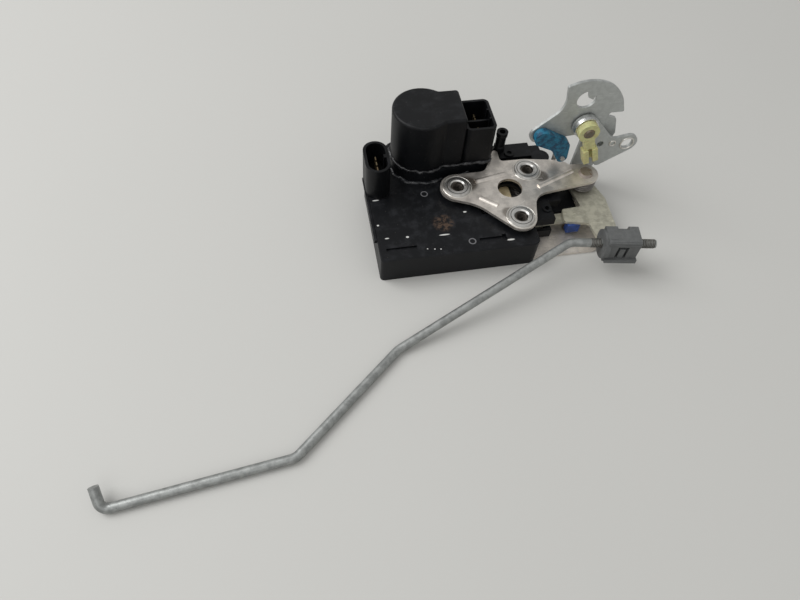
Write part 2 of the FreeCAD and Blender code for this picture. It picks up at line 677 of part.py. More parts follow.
def arc_about(radius, from_deg, to_deg, x=0.0, y=0.0):
    """Arc round a point, swept the short way from one angle to the other."""
    angles = (from_deg, (from_deg + to_deg) / 2, to_deg)
    return Part.Arc(*[Vector(*polar(x, y, radius, angle), 0) for angle in angles])


def ray(angle, near, far):
    return Part.LineSegment(Vector(*polar(0, 0, near, angle), 0), Vector(*polar(0, 0, far, angle), 0))


def wedge(near, far, from_deg, to_deg):
    return [arc_about(far, from_deg, to_deg), ray(to_deg, far, near), arc_about(near, to_deg, from_deg),
            ray(from_deg, near, far)]


def make_fork():
    """The fork is drawn latched and laid in its open place."""
    hook, lobe = s.seat_angle - 23.0, s.tooth_angle + 34.0
    body = new_body("fork")
    pad(body, [
        arc_about(s.fork_hub, lobe - 360, hook), ray(hook, s.fork_hub, s.hook_reach),
        arc_about(s.hook_reach, hook, s.seat_angle), ray(s.seat_angle, s.hook_reach, s.fork_reach),
        arc_about(s.fork_reach, s.seat_angle, lobe), ray(lobe, s.fork_reach, s.fork_hub)], "fork_thick")
    pocket(body, ring(0, 0, s.bush_radius + s.run_gap))
    half = s.throat_wide / 2
    turn = math.radians(s.seat_angle)
    along, across = Vector(math.cos(turn), math.sin(turn), 0), Vector(-math.sin(turn), math.cos(turn), 0)
    near, far = along * s.throat_start, along * (s.fork_reach + 4)
    pocket(body, [
        Part.Arc(near + across * half, near - along * half, near - across * half),
        Part.LineSegment(near - across * half, far - across * half),
        Part.LineSegment(far - across * half, far + across * half),
        Part.LineSegment(far + across * half, near + across * half)])
    pocket(body, wedge(s.tooth_root, s.fork_reach + 2, s.seat_angle + 8, s.tooth_angle))
    pocket(body, wedge(s.tooth_root + 2, s.fork_reach + 2, s.tooth_angle + 11, s.tooth_angle + 22))
    body.Placement = Placement(Vector(0, 0, s.fork_floor), Rotation(Vector(0, 0, 1), -s.fork_swing))
    bind(body, "Placement.Base.z", "fork_floor")
    keep(body, "fork_bolt")


def detent_axis():
    """Unit vector from the lifter bush to the detent bush, and the one across it, towards the fork."""
    line = Vector(s.left_bush_x - s.low_bush_x, s.left_bush_y - s.low_bush_y, 0).normalize()
    return line, Vector(line.y, -line.x, 0)


def make_detent():
    """The detent is drawn engaged and laid in its raised place."""
    back_off = s.seat_gap + 0.7
    across = Vector(math.sin(math.radians(s.tooth_angle)), -math.cos(math.radians(s.tooth_angle)), 0)
    inner = Vector(*polar(0, 0, s.tooth_root + 1.4, s.tooth_angle), 0) + across * back_off
    outer = Vector(*polar(0, 0, s.fork_reach + 0.5, s.tooth_angle), 0) + across * back_off
    step_in = Vector(*polar(0, 0, s.tooth_root + 1.4, s.tooth_angle - 7.5), 0)
    lx, ly = s.left_bush_x, s.left_bush_y
    outline = belt([
        (lx, ly, s.detent_hub, 1), (-25.5, -26.5, 2.0, 1), (outer.x, outer.y, 0.7, 1), (inner.x, inner.y, 0.7, 1),
        (step_in.x, step_in.y, 0.7, 1), (-32.5, -13.0, 5.0, -1)])
    outline = [edge.translate(Vector(-lx, -ly, 0)) or edge for edge in outline]
    body = plate("detent", outline, [(0, 0, s.bush_radius + s.run_gap)], "fork_thick")
    line, across = detent_axis()
    peg = line * -s.peg_from_bush
    pad(body, ring(peg.x, peg.y, s.peg_radius), "lifter_floor + lever_thick - fork_floor")
    turn = Rotation(Vector(0, 0, 1), -s.detent_swing)
    body.Placement = Placement(Vector(lx, ly, s.fork_floor), turn)
    place(body, "left_bush_x", "left_bush_y", "fork_floor")
    keep(body, "detent")


def make_lifter():
    """Bell crank that carries the release lever's stroke to the detent's peg."""
    bush = Vector(s.low_bush_x, s.low_bush_y, 0)
    line, across = detent_axis()
    span = math.hypot(s.left_bush_x - s.low_bush_x, s.left_bush_y - s.low_bush_y) - s.peg_from_bush
    face = s.peg_radius + s.seat_gap + s.peg_play
    tip = bush + line * (span + 0.8) + across * (face + 3)
    waist = bush + line * (span - 7.5) + across * (face - 4)
    lower = s.tab_y + s.lever_thick / 2 + s.sleeve_wall + s.seat_gap + 0.1
    outline = belt([
        (bush.x, bush.y, s.lifter_hub, 1), (1.0, lower - 5.8, 5, -1), (s.tab_x + 1, lower + 3.5, 3.5, 1),
        (-8.0, -22.0, 6, -1), (tip.x, tip.y, 3, 1), (waist.x, waist.y, 4, -1)])
    body = plate("lifter", outline, [(bush.x, bush.y, s.bush_radius + s.run_gap)], "lever_thick")
    place(body, z="lifter_floor")
    keep(body, "lifter_lever")


def make_release_lever():
    outline = belt([
        (s.clip_x, s.clip_y, 5.5, 1), (46.3, -44.0, 3.5, 1), (47.3, -22.0, 3.7, 1),
        (s.pivot_x, s.pivot_y, 8.5, 1), (30.8, -24.9, 1.2, -1), (20.2, -28.3, 1.5, 1), (19.0, -35.9, 1.5, 1),
        (31.0, -42.5, 2.2, -1)])
    holes = [(s.pivot_x, s.pivot_y, s.pivot_radius + s.run_gap), (s.clip_x, s.clip_y, s.clip_pin + s.run_gap)]
    body = plate("release_lever", outline, holes, "lever_thick")
    half = s.tab_wide / 2
    pad(body, rectangle(s.tab_x - half, s.tab_y - s.lever_thick / 2, s.tab_x + half, s.tab_y + s.lever_thick / 2),
        "release_floor + 0.5 - tab_low", lift=s.tab_low - s.release_floor)
    place(body, z="release_floor")
    keep(body, "release_lever")
    half += 0.05
    thick = s.lever_thick / 2 + 0.05
    sleeve = new_body("tab_sleeve")
    wall = s.sleeve_wall
    pad(sleeve, rectangle(s.tab_x - half - wall, s.tab_y - thick - wall, s.tab_x + half + wall, s.tab_y + thick + wall),
        s.release_floor - s.tab_low + wall - 0.2, lift=s.tab_low - wall)
    pocket(sleeve, rectangle(s.tab_x - half, s.tab_y - thick, s.tab_x + half, s.tab_y + thick), lift=s.tab_low - 0.05)
    keep(sleeve, "tab_sleeve")


# Release rod


def bent_wire(points, radii, wire):
    """Round wire through the points, each inner corner an arc of its radius."""
    corners = [Vector(*p) for p in points]
    edges = []
    start = corners[0]
    for corner, before, after, radius in zip(corners[1:-1], corners, corners[2:], radii):
        into, out = (corner - before).normalize(), (after - corner).normalize()
        angle = into.getAngle(out)
        reach = radius * math.tan(angle / 2)
        a, b = corner - into * reach, corner + out * reach
        inward = (out - into).normalize()
        middle = corner + inward * (radius / math.cos(angle / 2) - radius)
        edges.append(Part.LineSegment(start, a).toShape())
        edges.append(Part.Arc(a, middle, b).toShape())
        start = b
    edges.append(Part.LineSegment(start, corners[-1]).toShape())
    path = Part.Wire(edges)
    heading = (corners[1] - corners[0]).normalize()
    section = Part.Wire(Part.makeCircle(wire, corners[0], heading))
    rod = path.makePipeShell([section], True, True)
    print("wire volume against section times length: %.4f" % (rod.Volume / (math.pi * wire ** 2 * path.Length)))
    return rod


def make_rod():
    lie = s.rod_radius
    turn = math.radians(s.clip_turn)
    along = Vector(math.cos(turn), math.sin(turn), 0)
    centre = Vector(s.clip_x, s.clip_y, s.rod_high)
    tip, knee = centre + along * 22.0, centre - along * 31.0
    shaped("release_rod", bent_wire(
        [tuple(tip), tuple(knee), (-104.1, -107.6, lie), (-167.3, -162.0, lie), (-263.1, -173.1, lie),
         (-265.1, -163.4, lie + 7.4)], (9, 12, 9, 4.5), s.rod_radius))


def make_rod_clip():
    """Snap clip round the rod's thread, drawn along X and turned to the rod."""
    long, deep = s.clip_long / 2, s.clip_deep / 2
    body = block(-long, -deep, -s.clip_drop, long, deep, s.clip_rise)
    body = body.makeFillet(1.2, [e for e in body.Edges if abs(e.valueAt(e.Length / 2).y) > deep - 0.1
                                 and abs(e.valueAt(e.Length / 2).z - s.clip_rise) < 0.1])
    flange = Part.makeCylinder(deep + 2.0, 3.2, Vector(-long - 1.5, 0, -0.6), Vector(1, 0, 0))
    rim = block(-long + 1, -deep - 1.6, -s.clip_drop, long + 0.8, -deep + 1, -s.clip_drop + 3)
    body = body.fuse([flange, rim])
    cuts = [Part.makeCylinder(s.rod_radius + s.run_gap, 60, Vector(-30, 0, 0), Vector(1, 0, 0)),
            block(-2.8, deep - 3, s.clip_rise - 3, 4.2, deep + 1, s.clip_rise + 1)]
    window = block(-3.5, -deep - 1, -5.5, 3.2, -deep + 2.2, 4.5).cut(block(-1.8, -deep - 1, -6, 1.5, -deep + 3, 2.6))
    body = body.cut(cuts + [window])
    pin_low = s.release_floor - s.seat_gap
    centre = s.rod_high
    pin = Part.makeCylinder(s.clip_pin, s.rod_high - s.clip_drop - pin_low + 1, Vector(0, 0, pin_low - centre))
    head = Part.makeCone(s.clip_pin - 0.6, s.clip_pin + 1.1, 1.6, Vector(0, 0, pin_low - centre - 1.6))
    shaped("rod_clip", body.fuse([pin, head]).removeSplitter(),
           Placement(Vector(s.clip_x, s.clip_y, s.rod_high), Rotation(Vector(0, 0, 1), s.clip_turn)))


# Upright levers


def make_bracket():
    outline = belt([
        (38.0, 4.0, 2.0, 1), (48.0, 4.0, 2.0, 1), (57.0, 43.5, 2.0, 1), (54.0, 54.0, 2.0, 1),
        (s.pin_x, s.pin_z, 7.5, 1), (30.8, 42.0, 6.0, -1)])
    wall = plate("bracket_wall", outline, [(s.pin_x, s.pin_z, s.pin_radius + s.run_gap)], "lever_thick", "XZ_Plane")
    place(wall, y="bracket_y")
    rivet_spots = (40.0, 46.0)
    foot = plate("bracket_foot", rectangle(36, 2, 50, s.bracket_y + s.lever_thick),
                 [(x, 5, 1.6 + s.run_gap) for x in rivet_spots], "lever_thick")
    place(foot, z="face_thick")
    joined("lever_bracket", [wall, foot])
    rivets = [Part.makeCylinder(1.6, s.lever_thick, Vector(x, 5, s.face_thick)).fuse(
        Part.makeCone(2.8, 2.0, 1.2, Vector(x, 5, s.face_thick + s.lever_thick))) for x in rivet_spots]
    shaped("bracket_rivets", Part.makeCompound(rivets))


def make_lever_pin():
    """Shouldered pin through bracket and levers, with the two washers in front of them."""
    back = s.bracket_y + s.lever_thick
    front = -5.2
    body = turned("lever_pin", [
        (0, front), (s.pin_radius - 0.8, front), (s.pin_radius, front + 1.0), (s.pin_radius, back),
        (5.0, back), (5.0, back + 1.4), (0, back + 1.4)], "XY_Plane")
    place(body, "pin_x", 0.0, "pin_z")
    keep(body, "lever_pin")
    inner = s.pin_radius + s.run_gap
    for name, y1, y2, radius in (
            ("bracket_washer", s.lock_y + s.lever_thick + 0.1, s.bracket_y - 0.1, 6.5),
            ("middle_washer", s.inner_y + s.lever_thick + 0.1, s.lock_y - 0.1, 7.0),
            ("cup_washer", s.ring_y, s.inner_y - 0.1, s.ring_radius)):
        washer = turned(name, [(inner, y1), (radius - 0.5, y1), (radius, y2), (inner, y2)], "XY_Plane")
        place(washer, "pin_x", 0.0, "pin_z")
        keep(washer, name)


def make_lock_lever():
    outline = belt([
        (s.arm_x, s.arm_z, 6.2, 1), (16.0, 38.6, 7.5, -1), (s.pin_x, s.pin_z, 8.6, 1), (43.5, 53.5, 3.5, 1),
        (48.9, 61.9, 1.5, -1), (55.6, 64.3, 0.9, 1), (28.0, 60.6, 28.0, 1), (15.4, 84.8, 1.0, 1),
        (3.5, 74.5, 12.5, -1)])
    holes = [(s.pin_x, s.pin_z, s.pin_radius + s.run_gap), (s.key_x, s.key_z, s.key_radius),
             (s.arm_x, s.arm_z, 2.0 + s.run_gap)]
    body = plate("lock_lever", outline, holes, "lever_thick", "XZ_Plane")
    pad(body, polygon([(s.key_x + 0.8, s.key_z + 1.5), (s.key_x + 4.2, s.key_z - 0.2),
                       (s.key_x + 5.6, s.key_z + 5.5), (s.key_x - 0.5, s.key_z + 6.5)]), "lever_thick",
        "XZ_Plane", backward=True)
    place(body, y="lock_y")
    keep(body, "lock_lever")


def make_inside_lever():
    outline = belt([
        (s.pin_x, s.pin_z, 8.2, 1), (40.0, 34.0, 7.0, -1), (51.2, 23.8, 3.0, 1), (s.eye_x, s.eye_z, 7.0, 1),
        (57.5, 50.5, 6.5, -1)])
    holes = [(s.pin_x, s.pin_z, s.pin_radius + s.run_gap), (s.eye_x, s.eye_z, s.eye_hole), (47.5, 40.3, 2.2)]
    body = plate("inside_lever", outline, holes, "lever_thick", "XZ_Plane")
    place(body, y="inner_y")
    keep(body, "inside_lever")


def make_lock_link():
    """Blue snap clip on the lock lever's arm, and the wire it holds."""
    pieces = plate("link_clip", belt([
        (s.arm_x + 1.0, s.arm_z + 0.5, 5.4, 1), (9.0, 35.8, 6.5, -1), (22.3, 33.6, 3.6, 1), (19.3, 42.3, 5.8, 1)]),
        [(22.3, 33.6, 1.5 + s.run_gap)], 5.2, "XZ_Plane")
    place(pieces, y=s.lock_y - 5.5)
    stud = doc.addObject("Part::Cylinder", "LinkStud")
    bind(stud, "Radius", 2.0)
    stud.Height = 6.0
    stud.Placement = Placement(Vector(s.arm_x, s.lock_y + 2.6, s.arm_z), Rotation(Vector(0, 0, 1), Vector(0, -1, 0)))
    joined("link_clip", [pieces, stud])
    shaped("link_wire", bent_wire([(22.3, -1.4, 33.6), (22.3, 9.6, 33.6), (22.3, 9.6, 10.5)], (3.0,), 1.5))


def make_rod_holder():
    """Pale snap clip on the lever pin, ready for a rod: drawn hanging straight and turned to its place."""
    head = Part.makeCylinder(6.7, 4.4, Vector(0, -4.6, 0), Vector(0, 1, 0))
    neck = block(-3.4, -4.4, -16, 3.4, -0.4, -3)
    jaw = block(-4.8, -5.6, -25.5, 4.8, 0.2, -14.5)
    body = head.fuse([neck, jaw])
    body = body.cut([Part.makeCylinder(s.pin_radius + s.run_gap, 10, Vector(0, -8, 0), Vector(0, 1, 0)),
                     Part.makeCylinder(1.7, 12, Vector(0, -2.7, -26), Vector(0, 0, 1)),
                     block(-1.2, -6, -26, 1.2, -2.7, -14)])
    shaped("rod_holder", body.removeSplitter(),
           Placement(Vector(s.pin_x, 0.2, s.pin_z), Rotation(Vector(0, 1, 0), -18.7)))


# Power lock drive


def toothed(body, teeth, module, thick, lift=0.0):
    """Disc with straight-flanked teeth, one gap cut and repeated round the axis."""
    pitch = teeth * module / 2
    tip, root = pitch + module, pitch - 1.2 * module
    pad(body, ring(0, 0, tip), thick, lift=lift)
    doc.recompute()
    half_root, half_tip = 0.46 * math.pi * module / 2, 0.84 * math.pi * module / 2
    profile = sketch(body, polygon([
        (root, -half_root), (tip + 0.3, -half_tip - 0.1), (tip + 0.3, half_tip + 0.1), (root, half_root)]), lift=lift)
    gap = body.newObject("PartDesign::Pocket", body.Name + "_Gap")
    gap.Profile = profile
    gap.Reversed = True
    bind(gap, "Length", thick)
    pattern = body.newObject("PartDesign::PolarPattern", body.Name + "_Teeth")
    pattern.Originals = [gap]
    pattern.Axis = (profile, ["N_Axis"])
    pattern.Angle = 360
    pattern.Occurrences = int(teeth)
    body.Tip = pattern
    doc.recompute()


def make_drive():
    mesh = math.degrees(math.atan2(s.dome_y - s.gear_y, s.dome_x - s.gear_x))
    wheel = new_body("drive_gear")
    toothed(wheel, s.gear_teeth, s.gear_module, "gear_thick")
    pocket(wheel, ring(0, 0, 2.55))
    wheel.Placement = Placement(Vector(s.gear_x, s.gear_y, s.gear_floor),
                                Rotation(Vector(0, 0, 1), mesh + 180 / s.gear_teeth))
    keep(wheel, "drive_gear")
    output = new_body("output_pinion")
    toothed(output, s.rack_teeth, s.rack_module, "rack_thick")
    pocket(output, ring(0, 0, 2.55))
    output.Placement = Placement(Vector(s.gear_x, s.gear_y, s.rack_floor - 0.1), Rotation(Vector(0, 0, 1), 90))
    keep(output, "output_pinion")
    pinion = new_body("motor_pinion")
    toothed(pinion, s.pinion_teeth, s.gear_module, "gear_thick")
    pinion.Placement = Placement(Vector(s.dome_x, s.dome_y, s.gear_floor), Rotation(Vector(0, 0, 1), mesh + 180))
    pad(pinion, ring(0, 0, s.shaft_radius), s.case_high + 8 - s.gear_floor)
    keep(pinion, "motor_pinion")
    pitch = s.rack_teeth * s.rack_module / 2
    line = s.gear_y + pitch
    step = math.pi * s.rack_module
    root, tip = line + 1.25 * s.rack_module, line - 0.9 * s.rack_module
    bar = new_body("lock_slider")
    behind = math.ceil(s.slider_travel / step)
    points = []
    for i in range(-behind, 2):
        x = s.gear_x + i * step
        points += [(x - 0.31 * step, root), (x - 0.11 * step, tip), (x + 0.11 * step, tip), (x + 0.31 * step, root)]
    end_x = s.slider_end
    points += [(end_x, root), (end_x, root + 4), (points[0][0] - 2, root + 4), (points[0][0] - 2, root)]
    pad(bar, polygon(points), "rack_thick")
    place(bar, z="rack_floor")
    keep(bar, "lock_slider")


make_face_plate()
make_back_plate()
make_bush("fork_bush", 0.0, 0.0)
make_bush("detent_bush", "left_bush_x", "left_bush_y")
make_bush("lifter_bush", "low_bush_x", "low_bush_y")
make_release_pivot()
make_springs()
make_case()
make_bottom_cover()
make_carrier()
make_striker_guide()
make_motor_cover()
make_motor()
make_connectors()
make_fork()
make_detent()
make_lifter()
make_release_lever()
make_rod()
make_rod_clip()
make_bracket()
make_lever_pin()
make_lock_lever()
make_inside_lever()
make_lock_link()
make_rod_holder()
make_drive()
doc.recompute()

failed = [item.Name for item in doc.Objects if "Invalid" in item.State or "Error" in item.State]
failed += [item.Label for item in parts if item.Shape.isNull() or not item.Shape.isValid()]
if failed:
    raise RuntimeError("not built: " + ", ".join(failed))
os.makedirs("parts", exist_ok=True)
for item in parts:
    item.Shape.exportStep("parts/%s.step" % item.Label)
    print("%-18s %9.1f mm3 %3d solid(s)" % (item.Label, item.Shape.Volume, len(item.Shape.Solids)))
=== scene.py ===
"""Door latch actuator: finishes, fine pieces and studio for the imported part."""
import math

import bmesh
import bpy
from bpy.props import FloatProperty, FloatVectorProperty, IntProperty, PointerProperty
from mathutils import Matrix, Vector


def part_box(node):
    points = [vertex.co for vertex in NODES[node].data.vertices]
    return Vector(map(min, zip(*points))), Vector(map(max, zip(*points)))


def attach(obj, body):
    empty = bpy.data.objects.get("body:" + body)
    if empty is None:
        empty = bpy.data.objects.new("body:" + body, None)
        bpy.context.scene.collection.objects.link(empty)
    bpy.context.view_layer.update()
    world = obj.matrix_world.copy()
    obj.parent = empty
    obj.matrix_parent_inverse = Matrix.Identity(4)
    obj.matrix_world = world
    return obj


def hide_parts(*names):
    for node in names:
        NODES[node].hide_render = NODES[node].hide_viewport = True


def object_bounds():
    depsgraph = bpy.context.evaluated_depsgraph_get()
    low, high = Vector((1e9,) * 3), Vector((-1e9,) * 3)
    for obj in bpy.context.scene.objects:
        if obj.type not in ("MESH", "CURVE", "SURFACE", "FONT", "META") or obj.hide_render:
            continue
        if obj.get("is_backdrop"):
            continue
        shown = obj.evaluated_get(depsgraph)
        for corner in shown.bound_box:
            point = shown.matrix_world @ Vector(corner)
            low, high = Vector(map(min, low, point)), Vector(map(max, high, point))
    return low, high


bl_info = {
    "name": "Door Latch Actuator",
    "version": (1, 0, 0),
    "blender": (4, 5, 0),
    "location": "View3D > Sidebar > Latch",
    "description": "Finishes and fine pieces of a vehicle door latch with its power lock drive",
    "category": "Object",
}

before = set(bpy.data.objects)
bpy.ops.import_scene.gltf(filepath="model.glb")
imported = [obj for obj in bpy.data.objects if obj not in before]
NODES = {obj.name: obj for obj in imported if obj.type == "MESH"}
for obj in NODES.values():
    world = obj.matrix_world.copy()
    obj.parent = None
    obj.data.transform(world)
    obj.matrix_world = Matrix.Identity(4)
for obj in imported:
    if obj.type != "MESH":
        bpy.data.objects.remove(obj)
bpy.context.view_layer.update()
MM = 0.001

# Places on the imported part, in millimetres and degrees
CLIP_CENTRE = (41.0, -66.0, 23.5)
CLIP_TURN = -9.3
ROD_RADIUS = 2.65
PLATE_TOP = 25.5
HEAD_TOP = 26.9
CASE_TOP = 19.7
MOTOR_AXIS = (-68.0, 23.8)
COVER_FRONT = 8.8
EYE = (66.6, 2.5, 38.6)
DIMPLE = (56.2, 2.5, 39.8)
BUSHES = {"fork_bush": (0.0, 0.0), "detent_bush": (-49.0, -8.7), "lifter_bush": (-14.7, -38.5)}

# Rod threads in millimetres: name, start from the clip's middle, length; then the ridge and how deep it sits
ROD_THREADS = (("rod_thread_tip", 10.4, 11.0), ("rod_thread_root", -18.2, 6.4))
ROD_RIDGE = 0.48
ROD_RIDGE_SINK = 0.2

# Bush threads in millimetres: where the ridge winds, its size, and the bore left plain at each end
BORE_THREAD_RADIUS = 3.5
BORE_RIDGE = 0.5
BORE_END = 1.1

# Rims in millimetres: radius of the ring, radius of its bead
BUSH_RIM = (9.15, 0.42)
EYE_RIM = (4.5, 0.55)
DIMPLE_RIM = (2.0, 0.5)
RIM_ANGLES = range(0, 360, 6)

# Beads in millimetres: unevenness and size of a lump, and the step along the path
SEAL_LUMPS = (3.6, 4.0)
SKIRT_LUMPS = (4.6, 6.0)
RIM_LUMPS = (0.5, 5.0)
BEAD_STEP = 0.7

# Middle of the noise that moves a bead, a little high in Z so that the bead sags
BEAD_MIDDLE = (0.5, 0.5, 0.56)

# Corners of a bead's section and of a thread ridge's section
BEAD_SIDES = 12
RIDGE_SIDES = 6

# Paths of the two sealing beads in millimetres: edges that pairs of x and y are measured from, and the pairs
BEAD_LIFT = 0.3
SEAL_OUT = 0.3
SEAL_ANGLES = range(58, 307, 6)
SEAL_CORNERS = (
    ("origin", "cover_front", ((-54.5, -0.5), (-48.0, -0.5))),
    ("origin", "plug_front", ((-42.0, -0.4), (-34.0, -0.5))),
    ("plug_right", "plug_front", ((-3.6, -0.4), (-0.9, 0.9), (0.3, 3.8))),
    ("plug_right", "plug_rear", ((0.3, -3.8), (-0.9, -0.9), (-3.6, 0.3))),
    ("origin", "plug_rear", ((-42.0, 0.4),)),
    ("origin", "cover_rear", ((-44.0, -4.3),)),
    ("origin", "origin", ((-54.5, 38.8),)),
)
SKIRT_OUT = 1.6
SKIRT_THICKER = 1.3
SKIRT_ANGLES = range(150, 308, 5)
SKIRT_CORNERS = (("origin", "cover_front", ((-54.0, -1.4), (-48.0, -1.2), (-42.0, -0.9), (-37.0, -0.8))),)

# Ribs of the rod's clip in millimetres, from its middle: y, z, height, left end, right end
CLIP_RIBS = (
    (-5.6, 8.35, 0.9, -9.0, 9.6),
    (-6.9, 6.4, 0.9, -9.0, 9.6),
    (-3.4, 8.5, 0.5, -9.0, -4.2),
    (-6.95, -8.2, 1.0, -9.4, 9.9),
)
RIB_DEPTH = 1.1
RIB_EDGE = 0.28

# Marks on the case's top in millimetres: x and y, then radius and width of a ring, radius and soft edge of
# the smear, half length and half width of a nick
CASE_RINGS = ((-69.9, -6.5, 2.2, 0.6), (-47.8, -48.7, 2.2, 0.7))
CASE_SMEAR = (-62.6, -32.0, 4.4, 3.6)
CASE_NICKS = (
    (-101.9, -7.8, 1.6, 0.35), (-103.6, -28.4, 0.6, 0.5), (-99.7, -39.3, 1.0, 0.35), (-87.0, -39.9, 0.8, 0.6),
    (-63.9, -41.3, 2.6, 0.4), (-72.1, -51.4, 0.35, 0.3), (-68.4, -51.9, 0.35, 0.3), (-47.1, -24.9, 0.9, 0.5),
    (-23.7, -50.8, 2.0, 0.5), (-76.5, -50.6, 0.3, 0.25),
)
NICK_SOFT = 0.2

# Stains of the plates in millimetres: x and y from a bush, or a place, then radius and strength
BUSH_STAINS = ((8.0, -6.5, 3.5, 0.8), (7.5, 2.0, 4.5, 0.9), (-7.0, 4.5, 3.0, 0.7))
FACE_STAIN = ((24.0, -33.0, 2.0), 3.0, 1.0)

# Painted shade in the grooves and the bore of a bush head, in millimetres
GROOVE_RADII = (4.2, 6.9)
GROOVE_WIDTH = 0.5
BORE_SPOT = 4.4
BORE_SOFT = 0.5
BORE_DEEP = 3.2

# Colours
CLIP_GREY = (0.085, 0.088, 0.088)
BUSH_STEEL = (0.60, 0.59, 0.57)
GALVANISED_STAIN = (0.30, 0.27, 0.22)
PLATE_STAIN = (0.09, 0.07, 0.05)
ZINC_STAIN = (0.20, 0.13, 0.07)
STEEL_BROWN = (0.22, 0.14, 0.08)
# Painted shade for the grooves and bores of the bush heads
GROOVE_SHADE = (0.03, 0.027, 0.023)
BORE_SHADE = (0.014, 0.012, 0.010)
RING_PALE = (0.30, 0.30, 0.31)
NICK_PALE = (0.62, 0.62, 0.60)
SMEAR_BROWN = (0.085, 0.055, 0.038)
DUST_PALE = (0.26, 0.27, 0.30)
FLECK_PALE = (0.36, 0.34, 0.31)
SCRATCH_PALE = (0.20, 0.20, 0.21)
HAND_DIRT = (0.06, 0.055, 0.045)
FOLD_DUST = (0.12, 0.12, 0.125)

# Studio in metres and watts: lamps have a name, a place, a size and a power
FLOOR_HALF = 6.0
FLOOR_CLOUD = 0.35
FLOOR_COLOURS = ((0.482, 0.480, 0.462), (0.510, 0.507, 0.489))
ROOM_COLOUR = (1.0, 1.0, 0.985, 1.0)
ROOM_STRENGTH = 0.56
LAMPS = (("window", (-1.2, 0.35, 1.35), 1.3, 24.0), ("fill", (-0.6, -1.4, 1.7), 1.8, 7.0))

# Camera: place in millimetres, angles in degrees, sensor and lens in millimetres, nearest view in metres
CAMERA_PLACE = (-146.05, -273.81, 320.54)
CAMERA_DOWN = 57.08
CAMERA_ROLL = 4.51
CAMERA_TURN = -13.8
CAMERA_SENSOR = 36.0
CAMERA_LENS = 28.04
CAMERA_NEAR = 0.01


# Sizes and colours

class LatchFinish(bpy.types.PropertyGroup):
    """Colours and wear of the latch."""
    case_colour: FloatVectorProperty(
        name="Case Colour", description="Moulded case, carrier and covers", subtype="COLOR", size=3,
        default=(0.0036, 0.0040, 0.0050), min=0, max=1)
    zinc_colour: FloatVectorProperty(
        name="Zinc Colour", description="Plated sheet of the two plates", subtype="COLOR", size=3,
        default=(0.70, 0.655, 0.605), min=0, max=1)
    galvanised_colour: FloatVectorProperty(
        name="Galvanised Colour", description="Upright levers and the rod", subtype="COLOR", size=3,
        default=(0.46, 0.475, 0.465), min=0, max=1)
    dust: FloatProperty(
        name="Dust", description="How much pale dust lies on the plastic", default=0.35, min=0, max=1,
        subtype="FACTOR")


class LatchSizes(bpy.types.PropertyGroup):
    """Sizes of the fine pieces."""
    rod_pitch: FloatProperty(
        name="Rod Pitch", description="Thread pitch of the release rod", default=1.0 * MM, min=0.0005,
        max=0.002, unit="LENGTH")
    bush_pitch: FloatProperty(
        name="Bush Pitch", description="Thread pitch in the three bushes", default=1.25 * MM, min=0.0005,
        max=0.003, unit="LENGTH")
    bead_radius: FloatProperty(
        name="Seal Bead", description="Radius of the sealing bead round the motor cover", default=1.0 * MM,
        min=0.0003, max=0.002, unit="LENGTH")
    thread_steps: IntProperty(
        name="Steps a Turn", description="Points in one turn of a thread", default=28, min=12, max=64)


# Shader sums

def fed(tree, socket, value):
    """Links a socket to another, or gives it a plain value."""
    if isinstance(value, bpy.types.NodeSocket):
        tree.links.new(value, socket)
    else:
        socket.default_value = value


class Value:
    """A socket of a material, used in sums as a number."""

    def __init__(self, recipe, socket):
        self.recipe = recipe
        self.socket = socket

    def __add__(self, other):
        return self.recipe.maths("ADD", self, other)

    __radd__ = __add__

    def __sub__(self, other):
        return self.recipe.maths("SUBTRACT", self, other)

    def __rsub__(self, other):
        return self.recipe.maths("SUBTRACT", other, self)

    def __mul__(self, other):
        return self.recipe.maths("MULTIPLY", self, other)


